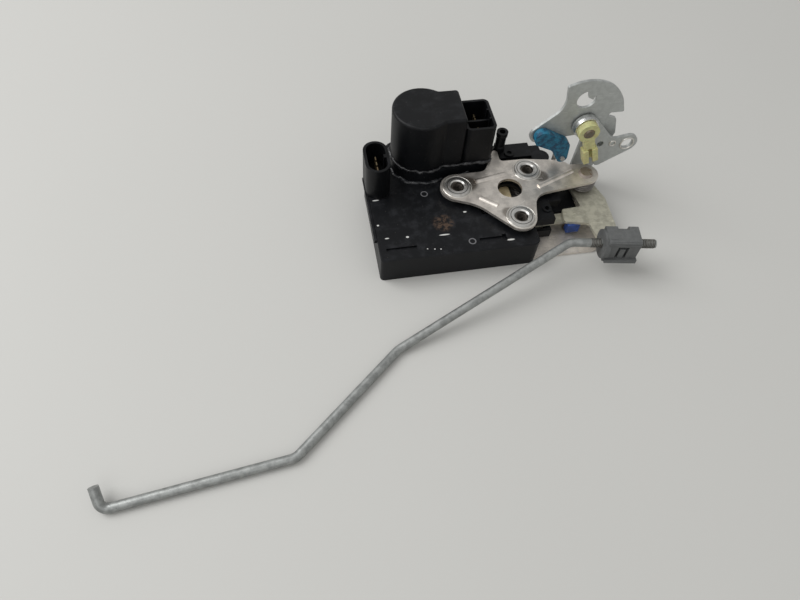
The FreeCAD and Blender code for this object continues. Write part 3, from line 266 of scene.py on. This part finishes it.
class Recipe:
    """One procedural material and the nodes that make it."""

    def __init__(self, name, **constants):
        self.material = bpy.data.materials.new(name)
        self.material.use_nodes = True
        self.tree = self.material.node_tree
        self.shader = self.tree.nodes["Principled BSDF"]
        for socket, value in constants.items():
            self.shader.inputs[socket.replace("_", " ")].default_value = value
        coordinate = self.tree.nodes.new("ShaderNodeTexCoord")
        self.place = coordinate.outputs["Object"]
        self.facing = coordinate.outputs["Normal"]

    def node(self, kind, settings=None, output=0, **inputs):
        """A node of that kind; its settings come first, then its sockets by identifier or name."""
        made = self.tree.nodes.new(kind)
        for key, value in (settings or {}).items():
            setattr(made, key, value)
        for key, value in inputs.items():
            socket = next(s for s in made.inputs if key in (s.identifier, s.name.replace(" ", "_")))
            self.feed(socket, value)
        found = made.outputs[output] if isinstance(output, int) else next(
            s for s in made.outputs if output in (s.identifier, s.name))
        return Value(self, found)

    def feed(self, socket, value):
        """Feeds a socket from a sum, another socket or a plain value."""
        if isinstance(value, Value):
            value = value.socket
        elif socket.type == "RGBA" and len(value) == 3:
            value = (*value, 1)
        fed(self.tree, socket, value)

    def set(self, **sockets):
        """Feeds the named sockets of the shader."""
        for name, value in sockets.items():
            self.feed(self.shader.inputs[name.replace("_", " ")], value)

    def maths(self, operation, first, second=0.0):
        made = self.tree.nodes.new("ShaderNodeMath")
        made.operation = operation
        self.feed(made.inputs[0], first)
        self.feed(made.inputs[1], second)
        return Value(self, made.outputs[0])

    def mix(self, factor, first, second):
        """The first colour where the factor is 0, the second where it is 1."""
        return self.node("ShaderNodeMix", {"data_type": "RGBA"}, "Result_Color", Factor_Float=factor,
                         A_Color=first, B_Color=second)

    def between(self, value, low, high):
        """0 below low, 1 above high."""
        return self.node("ShaderNodeMapRange", {"clamp": True, "interpolation_type": "SMOOTHSTEP"},
                         Value=value, From_Min=low, From_Max=high)

    def mapped(self, turn, stretch):
        """The place on the piece, turned by three angles in degrees and stretched."""
        if turn == (0, 0, 0) and stretch == (1, 1, 1):
            return self.place
        return self.node("ShaderNodeMapping", {"vector_type": "POINT"}, Vector=self.place,
                         Rotation=[math.radians(a) for a in turn], Scale=stretch)

    def noise(self, size, detail=3.0, rough=0.55, turn=(0, 0, 0), stretch=(1, 1, 1)):
        """Soft random values, about 0.5, with grains of that size in metres."""
        return self.node("ShaderNodeTexNoise", Vector=self.mapped(turn, stretch), Scale=1 / size,
                         Detail=detail, Roughness=rough)

    def cells(self, size):
        """Distance to the nearest of many scattered points."""
        return self.node("ShaderNodeTexVoronoi", {"feature": "F1"}, "Distance", Vector=self.place,
                         Scale=1 / size)

    def scratches(self, size, turn, width=0.012, share=0.52):
        """Thin lines that run along one direction and come in groups."""
        lines = self.noise(size, 1.0, 0.4, turn, (0.05, 1, 1))
        near = 1 - self.between(self.maths("ABSOLUTE", lines - 0.5), width * 0.3, width)
        return near * self.between(self.noise(size * 1.6, 2.0), share, share + 0.06)

    def spot(self, centre, radius, soft, stretch=(1, 1, 1)):
        """1 within radius of a point, falling to 0 over soft."""
        away = self.node("ShaderNodeVectorMath", {"operation": "SUBTRACT"}, Vector=self.place,
                         Vector_001=centre)
        scaled = self.node("ShaderNodeVectorMath", {"operation": "MULTIPLY"}, Vector=away, Vector_001=stretch)
        distance = self.node("ShaderNodeVectorMath", {"operation": "LENGTH"}, "Value", Vector=scaled)
        return 1 - self.between(distance, radius, radius + soft)

    def ring_mark(self, centre, radius, width):
        """1 on a ring of that width just inside the radius."""
        return self.spot(centre, radius, width * 0.5) - self.spot(centre, radius - width, width * 0.5)

    def upward(self):
        """How far the surface faces up, from -1 to 1."""
        return self.node("ShaderNodeSeparateXYZ", None, "Z", Vector=self.facing)

    def relief(self, height, strength, distance):
        """Surface directions bent by a height."""
        return self.node("ShaderNodeBump", Strength=strength, Distance=distance, Height=height)


def shade(colour, factor):
    """The colour made darker or lighter."""
    return tuple(min(1, c * factor) for c in colour)


def metres(point):
    """Millimetres as metres."""
    return [c * MM for c in point]


def plated(name, colour, rough, stain=ZINC_STAIN, stain_share=0.62, cloud=6 * MM, spots=()):
    """Zinc plated sheet: clouds, wear, fine scratches, a few brown stains, and a painted highlight that
    lightens faces turned sideways, such as cut edges.
    """
    r = Recipe(name, Metallic=0.92)
    clouds = r.noise(cloud, detail=4.0, rough=0.6)
    speckle = r.noise(0.7 * MM, detail=3.0, rough=0.7)
    flat = r.between(r.maths("ABSOLUTE", r.upward()), 0.55, 0.8)
    lines = r.maths("MAXIMUM", r.scratches(3 * MM, (0, 0, 32)), r.scratches(4 * MM, (0, 0, -51)))
    stains = r.between(r.noise(cloud * 1.7, detail=5.0, rough=0.65), stain_share, stain_share + 0.13)
    tone = r.mix(r.between(clouds, 0.35, 0.65), shade(colour, 0.80), shade(colour, 1.10))
    tone = r.mix(speckle * 0.22, tone, shade(colour, 0.62))
    tone = r.mix(stains * 0.55, tone, stain)
    for centre, radius, strength in spots:
        patch = r.spot(metres(centre), radius * MM, radius * 0.7 * MM)
        tone = r.mix(patch * strength * (speckle + 0.4), tone, stain)
    tone = r.mix(lines * 0.5, tone, shade(colour, 1.35))
    # Painted highlight: faces turned sideways, such as cut edges, are painted lighter than the level faces
    tone = r.mix((1 - flat) * 0.5, tone, shade(colour, 1.25))
    r.set(Base_Color=tone, Roughness=rough + clouds * 0.16 + speckle * 0.10 - lines * 0.12,
          Normal=r.relief(speckle * 0.5 + clouds * 0.6 + lines * 0.4, 0.22, 0.12 * MM))
    return r.material


def moulded(name, colour, dust, rough=0.36, marks=()):
    """Moulded plastic: fine grain, sheen, pale dust, faint scratches and the given marks."""
    r = Recipe(name, Specular_IOR_Level=0.2)
    grains = r.noise(0.35 * MM, detail=2.0, rough=0.6)
    clouds = r.noise(14 * MM, detail=4.0, rough=0.6)
    top = r.between(r.upward(), 0.3, 0.9)
    settled = r.between(r.noise(7 * MM, detail=5.0, rough=0.7), 0.46, 0.72)
    specks = 1 - r.between(r.cells(1.6 * MM), 0.05, 0.13)
    flecks = specks * r.between(r.noise(5 * MM, detail=2.0), 0.52, 0.62)
    lines = r.maths("MAXIMUM", r.scratches(9 * MM, (0, 0, 18), width=0.003, share=0.64),
                    r.scratches(11 * MM, (20, 0, -64), width=0.003, share=0.64))
    tone = r.mix(clouds, shade(colour, 0.7), shade(colour, 1.4))
    tone = r.mix((settled * 0.11 + 0.005) * (top * 0.8 + 0.2) * dust, tone, DUST_PALE)
    tone = r.mix(flecks * dust * 0.8, tone, FLECK_PALE)
    tone = r.mix(lines * min(1.0, dust * 0.5), tone, SCRATCH_PALE)
    height = grains * 0.35 + clouds * 0.5 - lines * 0.3
    for kind, centre, radius, width, stain in marks:
        place = metres(centre)
        if kind == "ring":
            ring = r.ring_mark(place, radius * MM, width * MM)
            height = height - ring * 1.2
            tone = r.mix(ring * 0.45, tone, stain)
        elif kind == "nick":
            nick = r.spot(place, width * MM, NICK_SOFT * MM, stretch=(width / radius, 1, 1))
            tone = r.mix(nick * 0.85, tone, stain)
        else:
            worn = r.between(r.noise(2.5 * MM, detail=5.0, rough=0.7), 0.42, 0.60)
            tone = r.mix(r.spot(place, radius * MM, width * MM) * worn * 0.8, tone, stain)
    r.set(Base_Color=tone, Roughness=rough + grains * 0.12 + settled * 0.14 * dust + lines * 0.2,
          Normal=r.relief(height, 0.30, 0.10 * MM))
    return r.material


def tinted(name, colour, mottle, rough, dust, glow=0.0):
    """Coloured clip plastic with mottling and handling dirt."""
    r = Recipe(name, Specular_IOR_Level=0.4, Subsurface_Weight=glow)
    patches = r.noise(3.2 * MM, detail=5.0, rough=0.65)
    dirt = r.between(r.noise(1.4 * MM, detail=4.0, rough=0.7), 0.55, 0.72)
    grains = r.noise(0.3 * MM, detail=2.0, rough=0.6)
    tone = r.mix(r.between(patches, 0.38, 0.62), colour, mottle)
    tone = r.mix(dirt * dust, tone, HAND_DIRT)
    r.set(Base_Color=tone, Roughness=rough + grains * 0.15 + dirt * 0.1,
          Normal=r.relief(grains * 0.4 + patches * 0.6, 0.25, 0.12 * MM))
    return r.material


def wire_steel(name, colour, rough=0.38, streak=1.0, metal=0.85):
    """Drawn and galvanised wire: dull blotches, dark pits and drawing lines."""
    r = Recipe(name, Metallic=metal)
    blotch = r.noise(3.5 * MM, detail=4.0, rough=0.6)
    pits = r.between(r.noise(0.9 * MM, detail=3.0, rough=0.7), 0.60, 0.72)
    drawn = r.noise(0.5 * MM, detail=2.0, rough=0.5, turn=(0, 0, 38), stretch=(0.04, 1, 1))
    tone = r.mix(r.between(blotch, 0.36, 0.64), shade(colour, 0.82), shade(colour, 1.14))
    tone = r.mix(pits * 0.5 * streak, tone, shade(colour, 0.45))
    r.set(Base_Color=tone, Roughness=rough + blotch * 0.15 + pits * 0.12,
          Normal=r.relief(drawn * 0.3 + pits * 0.5, 0.25, 0.1 * MM))
    return r.material


def turned_steel(name, colour, rough=0.26, stain=0.3, grooves=()):
    """Turned or rolled steel with a little brown, and painted shade in the grooves and bores on the heads of
    bushes.
    """
    r = Recipe(name, Metallic=0.95)
    marks = r.noise(0.4 * MM, detail=2.0, rough=0.5)
    brown = r.between(r.noise(2.6 * MM, detail=4.0, rough=0.65), 0.52, 0.68)
    tone = r.mix(marks, shade(colour, 0.85), shade(colour, 1.1))
    tone = r.mix(brown * stain, tone, STEEL_BROWN)
    for (x, y), radius in grooves:
        # Painted shade: near black down in the bore, dark rings along the grooves of the head
        bore = r.spot(metres((x, y, HEAD_TOP - BORE_DEEP)), BORE_SPOT * MM, BORE_SOFT * MM)
        tone = r.mix(bore * 0.9, tone, BORE_SHADE)
        groove = r.ring_mark(metres((x, y, HEAD_TOP)), radius * MM, GROOVE_WIDTH * MM)
        tone = r.mix(groove * 0.85, tone, GROOVE_SHADE)
    r.set(Base_Color=tone, Roughness=rough + marks * 0.14 + brown * 0.12,
          Normal=r.relief(marks, 0.2, 0.08 * MM))
    return r.material


def rubbery(name, colour):
    """Cured sealing bead, shiny with dust in its folds."""
    r = Recipe(name)
    folds = r.noise(1.6 * MM, detail=4.0, rough=0.6)
    tone = r.mix(r.between(folds, 0.5, 0.7) * 0.25, colour, FOLD_DUST)
    r.set(Base_Color=tone, Roughness=0.22 + folds * 0.25, Normal=r.relief(folds, 0.4, 0.2 * MM))
    return r.material


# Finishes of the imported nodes

def case_marks():
    """Rings, a smear and nicks on the case's top: kind, centre, two sizes and colour."""
    x, y, radius, soft = CASE_SMEAR
    rings = [("ring", (x, y, CASE_TOP), radius, width, RING_PALE) for x, y, radius, width in CASE_RINGS]
    nicks = [("nick", (x, y, CASE_TOP), long, wide, NICK_PALE) for x, y, long, wide in CASE_NICKS]
    return rings + [("smear", (x, y, CASE_TOP), radius, soft, SMEAR_BROWN)] + nicks


def bush_stains():
    """One stain on the back plate beside each bush."""
    return [((x + aside, y + over, PLATE_TOP), radius, strength)
            for (x, y), (aside, over, radius, strength) in zip(BUSHES.values(), BUSH_STAINS)]


def finishes(look):
    """The material of each group of nodes, whose names stand apart by spaces."""
    zinc = tuple(look.zinc_colour)
    galvanised = tuple(look.galvanised_colour)
    case = tuple(look.case_colour)
    # Grooves and bores of the bush heads that get painted shade
    grooves = [(centre, radius) for centre in BUSHES.values() for radius in GROOVE_RADII]
    return {
        "back_plate": plated("star_plate_zinc", zinc, 0.30, PLATE_STAIN, 0.66, spots=bush_stains()),
        "face_plate": plated("face_plate_zinc", shade(zinc, 1.04), 0.4, spots=(FACE_STAIN,)),
        "fork_bush detent_bush lifter_bush": turned_steel("bush_steel", BUSH_STEEL, grooves=grooves),
        "lever_pin": turned_steel("lever_pin_steel", (0.22, 0.19, 0.15), 0.45, 0.8),
        "pivot_sleeve spring_core bracket_washer middle_washer": turned_steel("pin_steel", BUSH_STEEL),
        "release_pivot bracket_rivets": turned_steel("rivet_steel", (0.42, 0.37, 0.33), 0.36, 0.7),
        "cup_washer": turned_steel("washer_steel", (0.72, 0.72, 0.72), 0.2, 0.05),
        "release_lever lifter_lever": plated("lever_zinc", (0.49, 0.475, 0.395), 0.46, cloud=4 * MM),
        "fork_bolt detent": plated("fork_steel", (0.40, 0.39, 0.37), 0.4),
        "lock_lever inside_lever lever_bracket": plated(
            "lever_galvanised", galvanised, 0.44, GALVANISED_STAIN, 0.66, cloud=3 * MM),
        "release_rod": wire_steel("rod_galvanised", shade(galvanised, 0.66), 0.40),
        "link_wire": wire_steel("link_wire_steel", (0.5, 0.49, 0.47)),
        "release_spring fork_spring detent_spring": wire_steel("spring_wire", (0.22, 0.21, 0.20), 0.4, 0.6),
        "case bottom_cover": moulded("case_plastic", case, look.dust, marks=case_marks()),
        "carrier motor_cover harness_post": moulded("cover_plastic", shade(case, 0.8), look.dust * 0.7, 0.38),
        "main_connector side_connector": moulded("connector_plastic", shade(case, 0.7), look.dust * 0.9),
        "rod_clip": tinted("clip_grey_plastic", CLIP_GREY, shade(CLIP_GREY, 1.2), 0.5, 0.3),
        "link_clip": tinted("clip_blue_plastic", (0.012, 0.14, 0.23), (0.006, 0.04, 0.085), 0.35, 0.5),
        "tab_sleeve": tinted("sleeve_blue_plastic", (0.03, 0.07, 0.26), (0.02, 0.05, 0.18), 0.45, 0.3),
        "rod_holder": tinted(
            "clip_natural_plastic", (0.56, 0.54, 0.26), (0.46, 0.43, 0.21), 0.42, 0.3, glow=0.08),
        "striker_guide": tinted("guide_cream_plastic", (0.70, 0.60, 0.38), (0.62, 0.50, 0.30), 0.45, 0.25),
        "lock_motor": wire_steel("motor_can", (0.62, 0.62, 0.6), 0.3, 0.3),
        "drive_gear output_pinion motor_pinion lock_slider": tinted(
            "gear_plastic", (0.66, 0.65, 0.60), (0.58, 0.57, 0.52), 0.4, 0.1),
        "main_terminals side_terminals": turned_steel("terminal_brass", (0.20, 0.16, 0.10), 0.4, 0.6),
        "cover_seal": rubbery("seal_rubber", (0.010, 0.010, 0.011)),
    }


# Geometry node trees

def tree_with(name, sockets):
    """A geometry node tree with the named inputs and one geometry output."""
    tree = bpy.data.node_groups.new(name, "GeometryNodeTree")
    tree.interface.new_socket("Geometry", in_out="INPUT", socket_type="NodeSocketGeometry")
    for label, (kind, default) in sockets.items():
        socket = tree.interface.new_socket(label, in_out="INPUT", socket_type="NodeSocket" + kind)
        if default is not None:
            socket.default_value = default
    tree.interface.new_socket("Geometry", in_out="OUTPUT", socket_type="NodeSocketGeometry")
    return tree, tree.nodes.new("NodeGroupInput"), tree.nodes.new("NodeGroupOutput")


def add_node(tree, kind, settings=None, **inputs):
    """A node of that kind, with its settings and its open sockets by identifier or name."""
    made = tree.nodes.new(kind)
    for key, value in (settings or {}).items():
        setattr(made, key, value)
    for key, value in inputs.items():
        socket = next(s for s in made.inputs if key in (s.identifier, s.name.replace(" ", "_")) and s.enabled)
        fed(tree, socket, value)
    return made


def combined(tree, kind, operation, first, second):
    """The result of a maths node on two values, each a socket or a number."""
    made = add_node(tree, kind, {"operation": operation})
    fed(tree, made.inputs[0], first)
    fed(tree, made.inputs[1], second)
    return made.outputs[0]


def closed_tree(tree, given, out, geometry):
    """The tree, with its geometry made real, given the material and led out."""
    solid = add_node(tree, "GeometryNodeRealizeInstances", Geometry=geometry)
    done = add_node(tree, "GeometryNodeSetMaterial", Geometry=solid.outputs[0],
                    Material=given.outputs["Material"])
    tree.links.new(done.outputs[0], out.inputs[0])
    return tree


def thread_tree():
    """A rolled or cut thread: one round ridge wound along Z."""
    tree, given, out = tree_with("thread_ridge", {
        "Radius": ("Float", 0.003), "Pitch": ("Float", 0.001), "Turns": ("Float", 10.0),
        "Ridge": ("Float", 0.0004), "Steps": ("Int", 28), "Material": ("Material", None)})
    height = combined(tree, "ShaderNodeMath", "MULTIPLY", given.outputs["Pitch"], given.outputs["Turns"])
    spiral = add_node(tree, "GeometryNodeCurveSpiral", Resolution=given.outputs["Steps"],
                      Rotations=given.outputs["Turns"], Start_Radius=given.outputs["Radius"],
                      End_Radius=given.outputs["Radius"], Height=height)
    ridge = add_node(tree, "GeometryNodeCurvePrimitiveCircle", {"mode": "RADIUS"}, Resolution=RIDGE_SIDES,
                     Radius=given.outputs["Ridge"])
    swept = add_node(tree, "GeometryNodeCurveToMesh", Curve=spiral.outputs[0],
                     Profile_Curve=ridge.outputs[0], Fill_Caps=True)
    return closed_tree(tree, given, out, swept.outputs[0])


def bead_tree():
    """A squeezed-out bead along a path: an uneven round section that sags a little downwards."""
    tree, given, out = tree_with("seal_bead", {
        "Radius": ("Float", 0.001), "Unevenness": ("Float", 0.0008), "Lump Size": ("Float", 0.006),
        "Material": ("Material", None)})
    path = add_node(tree, "GeometryNodeResampleCurve", Curve=given.outputs["Geometry"])
    path.mode = "LENGTH"
    path.inputs["Length"].default_value = BEAD_STEP * MM
    section = add_node(tree, "GeometryNodeCurvePrimitiveCircle", {"mode": "RADIUS"}, Resolution=BEAD_SIDES,
                       Radius=given.outputs["Radius"])
    swept = add_node(tree, "GeometryNodeCurveToMesh", Curve=path.outputs[0],
                     Profile_Curve=section.outputs[0], Fill_Caps=True)
    per_size = combined(tree, "ShaderNodeMath", "DIVIDE", 1.0, given.outputs["Lump Size"])
    lumps = add_node(tree, "ShaderNodeTexNoise", {"noise_dimensions": "3D"}, Scale=per_size, Detail=3.0)
    centred = combined(tree, "ShaderNodeVectorMath", "SUBTRACT", lumps.outputs["Color"], BEAD_MIDDLE)
    pushed = add_node(tree, "ShaderNodeVectorMath", {"operation": "SCALE"})
    tree.links.new(centred, pushed.inputs[0])
    tree.links.new(given.outputs["Unevenness"], pushed.inputs["Scale"])
    moved = add_node(tree, "GeometryNodeSetPosition", Geometry=swept.outputs[0], Offset=pushed.outputs[0])
    return closed_tree(tree, given, out, moved.outputs[0])


# Paths and pieces

def arc(centre, radius, degrees):
    """Pairs of coordinates at those angles round a centre."""
    across, over = centre
    turns = [math.radians(a) for a in degrees]
    return [(across + radius * math.cos(a), over + radius * math.sin(a)) for a in turns]


def corners(table, edges):
    """Pairs of coordinates, each measured from two named edges."""
    return [(edges[left] + x, edges[front] + y) for left, front, pairs in table for x, y in pairs]


def path_curve(name, points, closed):
    """A curve through points in millimetres, for a tree to follow."""
    curve = bpy.data.curves.new(name, "CURVE")
    curve.dimensions = "3D"
    spline = curve.splines.new("POLY")
    spline.points.add(len(points) - 1)
    for point, place in zip(spline.points, points):
        point.co = (*metres(place), 1)
    spline.use_cyclic_u = closed
    return curve


def grown(name, tree, values, spot, body, seed=None):
    """Runs a tree with those values, lays the result at spot, and rides it on the body."""
    seed = seed or bpy.data.meshes.new(name + "_seed")
    holder = bpy.data.objects.new(name + "_tree", seed)
    bpy.context.scene.collection.objects.link(holder)
    modifier = holder.modifiers.new("Tree", "NODES")
    modifier.node_group = tree
    for item in tree.interface.items_tree:
        if item.in_out == "INPUT" and item.name in values:
            modifier[item.identifier] = values[item.name]
    holder.update_tag()
    graph = bpy.context.evaluated_depsgraph_get()
    mesh = bpy.data.meshes.new_from_object(holder.evaluated_get(graph), depsgraph=graph)
    bpy.data.objects.remove(holder)
    mesh.name = name
    mesh.transform(spot)
    return seated(name, mesh, body)


def beaded(name, points, closed, radius, lumps, material, body):
    """A bead of that radius in metres along points in millimetres."""
    uneven, size = metres(lumps)
    values = {"Radius": radius, "Unevenness": uneven, "Lump Size": size, "Material": material}
    path = path_curve(name + "_path", points, closed)
    return grown(name, bead_tree(), values, Matrix.Identity(4), body, path)


def seated(name, mesh, body, smooth=True):
    """An object for a finished mesh, riding on its body."""
    for face in mesh.polygons:
        face.use_smooth = smooth
    piece = bpy.data.objects.new(name, mesh)
    bpy.context.scene.collection.objects.link(piece)
    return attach(piece, body)


def along(start, direction):
    """Turns Z to a direction and moves the origin to start."""
    turn = Vector((0, 0, 1)).rotation_difference(Vector(direction)).to_matrix().to_4x4()
    return Matrix.Translation(Vector(start)) @ turn


# Operators

class LATCH_OT_finishes(bpy.types.Operator):
    """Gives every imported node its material"""
    bl_idname = "latch.finishes"
    bl_label = "Finish the Packed Nodes"

    def execute(self, context):
        for names, material in finishes(context.scene.latch_finish).items():
            for name in names.split():
                mesh = NODES[name].data
                mesh.materials.clear()
                mesh.materials.append(material)
        return {"FINISHED"}


class LATCH_OT_threads(bpy.types.Operator):
    """Winds the rolled thread on the rod and the cut threads in the three bushes"""
    bl_idname = "latch.threads"
    bl_label = "Threads"

    def execute(self, context):
        sizes = context.scene.latch_sizes
        tree = thread_tree()
        dark = wire_steel("thread_steel", (0.10, 0.095, 0.085), 0.42, metal=0.7)
        # The threads inside the bushes are painted near black, a painted shade inside the bores
        bore_thread_shade = wire_steel("bore_thread_steel", (0.07, 0.06, 0.05), 0.5, metal=0.6)
        turn = math.radians(CLIP_TURN)
        ahead = Vector((math.cos(turn), math.sin(turn), 0))
        centre = Vector(CLIP_CENTRE) * MM
        pitch = sizes.rod_pitch
        for name, start, long in ROD_THREADS:
            values = {"Radius": ROD_RADIUS * MM - ROD_RIDGE_SINK * MM, "Pitch": pitch,
                      "Turns": long * MM / pitch, "Ridge": ROD_RIDGE * MM, "Steps": sizes.thread_steps,
                      "Material": dark}
            grown(name, tree, values, along(centre + ahead * (start * MM), ahead), "rod")
        pitch = sizes.bush_pitch
        for name, (x, y) in BUSHES.items():
            low, high = (corner[2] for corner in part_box(name))
            long = high - low - 2 * BORE_END * MM
            values = {"Radius": BORE_THREAD_RADIUS * MM, "Pitch": pitch, "Turns": long / pitch,
                      "Ridge": BORE_RIDGE * MM, "Steps": sizes.thread_steps, "Material": bore_thread_shade}
            foot = (x * MM, y * MM, low + BORE_END * MM)
            grown(name + "_thread", tree, values, along(foot, (0, 0, 1)), "latch")
        return {"FINISHED"}


class LATCH_OT_seal(bpy.types.Operator):
    """Lays the squeezed-out sealing bead round the foot of the motor cover and the main connector"""
    bl_idname = "latch.seal"
    bl_label = "Sealing Bead"

    def execute(self, context):
        radius = context.scene.latch_sizes.bead_radius
        cover_low, cover_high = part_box("motor_cover")
        plug_low, plug_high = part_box("main_connector")
        edges = {"origin": 0.0, "cover_front": COVER_FRONT, "cover_rear": cover_high[1] / MM,
                 "plug_front": plug_low[1] / MM, "plug_rear": plug_high[1] / MM,
                 "plug_right": plug_high[0] / MM}
        reach = MOTOR_AXIS[0] - cover_low[0] / MM + SEAL_OUT
        height = cover_low[2] / MM + BEAD_LIFT
        path = arc(MOTOR_AXIS, reach, SEAL_ANGLES) + corners(SEAL_CORNERS, edges)
        bead = beaded("seal_bead", [(x, y, height) for x, y in path], True, radius, SEAL_LUMPS,
                      rubbery("bead_rubber", (0.012, 0.012, 0.014)), "latch")
        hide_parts("cover_seal")
        foot = CASE_TOP + BEAD_LIFT
        path = arc(MOTOR_AXIS, reach + SKIRT_OUT, SKIRT_ANGLES) + corners(SKIRT_CORNERS, edges)
        beaded("skirt_bead", [(x, y, foot) for x, y in path], False, radius * SKIRT_THICKER, SKIRT_LUMPS,
               rubbery("skirt_rubber", (0.012, 0.013, 0.016)), "latch")
        return {"FINISHED"}


class LATCH_OT_rims(bpy.types.Operator):
    """Raises the rolled rims round the three bushes, the inside lever's eye and its dimple"""
    bl_idname = "latch.rims"
    bl_label = "Rolled Rims"

    def execute(self, context):
        bright = turned_steel("rim_zinc", (0.72, 0.70, 0.66), 0.24, 0.35)
        reach, radius = BUSH_RIM
        for name, centre in BUSHES.items():
            path = [(x, y, PLATE_TOP) for x, y in arc(centre, reach, RIM_ANGLES)]
            beaded(name + "_rim", path, True, radius * MM, RIM_LUMPS, bright, "latch")
        for name, (x, y, z), rim in (("eye_rim", EYE, EYE_RIM), ("lever_dimple", DIMPLE, DIMPLE_RIM)):
            reach, radius = rim
            path = [(across, y, over) for across, over in arc((x, z), reach, RIM_ANGLES)]
            beaded(name, path, True, radius * MM, RIM_LUMPS, bright, "inside")
        return {"FINISHED"}


class LATCH_OT_clip_ribs(bpy.types.Operator):
    """Adds the moulded ribs of the rod's clip"""
    bl_idname = "latch.clip_ribs"
    bl_label = "Clip Ribs"

    def execute(self, context):
        grey = tinted("clip_rib_plastic", CLIP_GREY, shade(CLIP_GREY, 1.2), 0.5, 0.3)
        turn = Matrix.Rotation(math.radians(CLIP_TURN), 4, "Z")
        joined = bmesh.new()
        for y, z, tall, left, right in CLIP_RIBS:
            bar = bmesh.ops.create_cube(joined, size=1.0)["verts"]
            bmesh.ops.scale(joined, vec=((right - left) * MM, RIB_DEPTH * MM, tall * MM), verts=bar)
            bmesh.ops.translate(joined, vec=((left + right) / 2 * MM, y * MM, z * MM), verts=bar)
        bmesh.ops.bevel(joined, geom=joined.edges[:], offset=RIB_EDGE * MM, segments=2, affect="EDGES",
                        profile=0.6)
        bmesh.ops.transform(joined, matrix=Matrix.Translation(Vector(CLIP_CENTRE) * MM) @ turn,
                            verts=joined.verts)
        mesh = bpy.data.meshes.new("clip_ribs")
        joined.to_mesh(mesh)
        joined.free()
        mesh.materials.append(grey)
        seated("clip_ribs", mesh, "rod", smooth=False)
        return {"FINISHED"}


class LATCH_OT_stage(bpy.types.Operator):
    """Builds the floor, the light and the camera"""
    bl_idname = "latch.stage"
    bl_label = "Studio"

    def execute(self, context):
        scene = context.scene
        self.floor(scene)
        self.light(scene)
        self.camera(scene)
        scene.view_settings.view_transform = "Standard"
        return {"FINISHED"}

    def floor(self, scene):
        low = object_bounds()[0][2]
        mesh = bpy.data.meshes.new("table_top")
        outline = [(x * FLOOR_HALF, y * FLOOR_HALF, low) for x, y in ((-1, -1), (1, -1), (1, 1), (-1, 1))]
        mesh.from_pydata(outline, [], [(0, 1, 2, 3)])
        table = bpy.data.objects.new("table_top", mesh)
        scene.collection.objects.link(table)
        r = Recipe("table_paint", Roughness=0.55, Specular_IOR_Level=0.3)
        r.set(Base_Color=r.mix(r.noise(FLOOR_CLOUD, detail=2.0, rough=0.5), *FLOOR_COLOURS))
        mesh.materials.append(r.material)
        table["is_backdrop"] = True

    def light(self, scene):
        world = bpy.data.worlds.new("soft_room")
        world.use_nodes = True
        background = world.node_tree.nodes["Background"]
        background.inputs["Color"].default_value = ROOM_COLOUR
        background.inputs["Strength"].default_value = ROOM_STRENGTH
        scene.world = world
        for name, place, size, power in LAMPS:
            lamp = bpy.data.lights.new(name, "AREA")
            lamp.size = size
            lamp.energy = power
            holder = bpy.data.objects.new(name, lamp)
            holder.location = place
            holder.rotation_euler = (-Vector(place)).to_track_quat("-Z", "Y").to_euler()
            scene.collection.objects.link(holder)

    def camera(self, scene):
        down, roll, turn = (math.radians(a) for a in (CAMERA_DOWN, CAMERA_ROLL, CAMERA_TURN))
        ahead = Vector((-math.sin(turn) * math.cos(down), math.cos(turn) * math.cos(down), -math.sin(down)))
        level = ahead.cross(Vector((0, 0, 1))).normalized()
        over = level.cross(ahead)
        right = level * math.cos(roll) + over * math.sin(roll)
        up = over * math.cos(roll) - level * math.sin(roll)
        data = bpy.data.cameras.new("camera")
        data.sensor_width = CAMERA_SENSOR
        data.lens = CAMERA_LENS
        data.clip_start = CAMERA_NEAR
        camera = bpy.data.objects.new("camera", data)
        facing = Matrix((right, up, -ahead)).transposed().to_4x4()
        camera.matrix_world = Matrix.Translation(Vector(CAMERA_PLACE) * MM) @ facing
        scene.collection.objects.link(camera)
        scene.camera = camera


class LATCH_PT_panel(bpy.types.Panel):
    """Lists the latch's sizes, colours and pieces"""
    bl_idname = "LATCH_PT_panel"
    bl_label = "Door Latch Actuator"
    bl_space_type = "VIEW_3D"
    bl_region_type = "UI"
    bl_category = "Latch"

    def draw(self, context):
        for group in (context.scene.latch_finish, context.scene.latch_sizes):
            for name in group.bl_rna.properties.keys():
                if name not in ("rna_type", "name"):
                    self.layout.prop(group, name)
        for operator in PIECES:
            self.layout.operator(operator.bl_idname)


PIECES = (LATCH_OT_finishes, LATCH_OT_threads, LATCH_OT_seal, LATCH_OT_rims, LATCH_OT_clip_ribs,
          LATCH_OT_stage)
CLASSES = (LatchFinish, LatchSizes, *PIECES, LATCH_PT_panel)


def register():
    for item in CLASSES:
        bpy.utils.register_class(item)
    bpy.types.Scene.latch_finish = PointerProperty(type=LatchFinish)
    bpy.types.Scene.latch_sizes = PointerProperty(type=LatchSizes)


def unregister():
    del bpy.types.Scene.latch_finish
    del bpy.types.Scene.latch_sizes
    for item in reversed(CLASSES):
        bpy.utils.unregister_class(item)


def main():
    register()
    for operator in PIECES:
        family, name = operator.bl_idname.split(".")
        getattr(getattr(bpy.ops, family), name)()


if __name__ == "__main__":
    main()
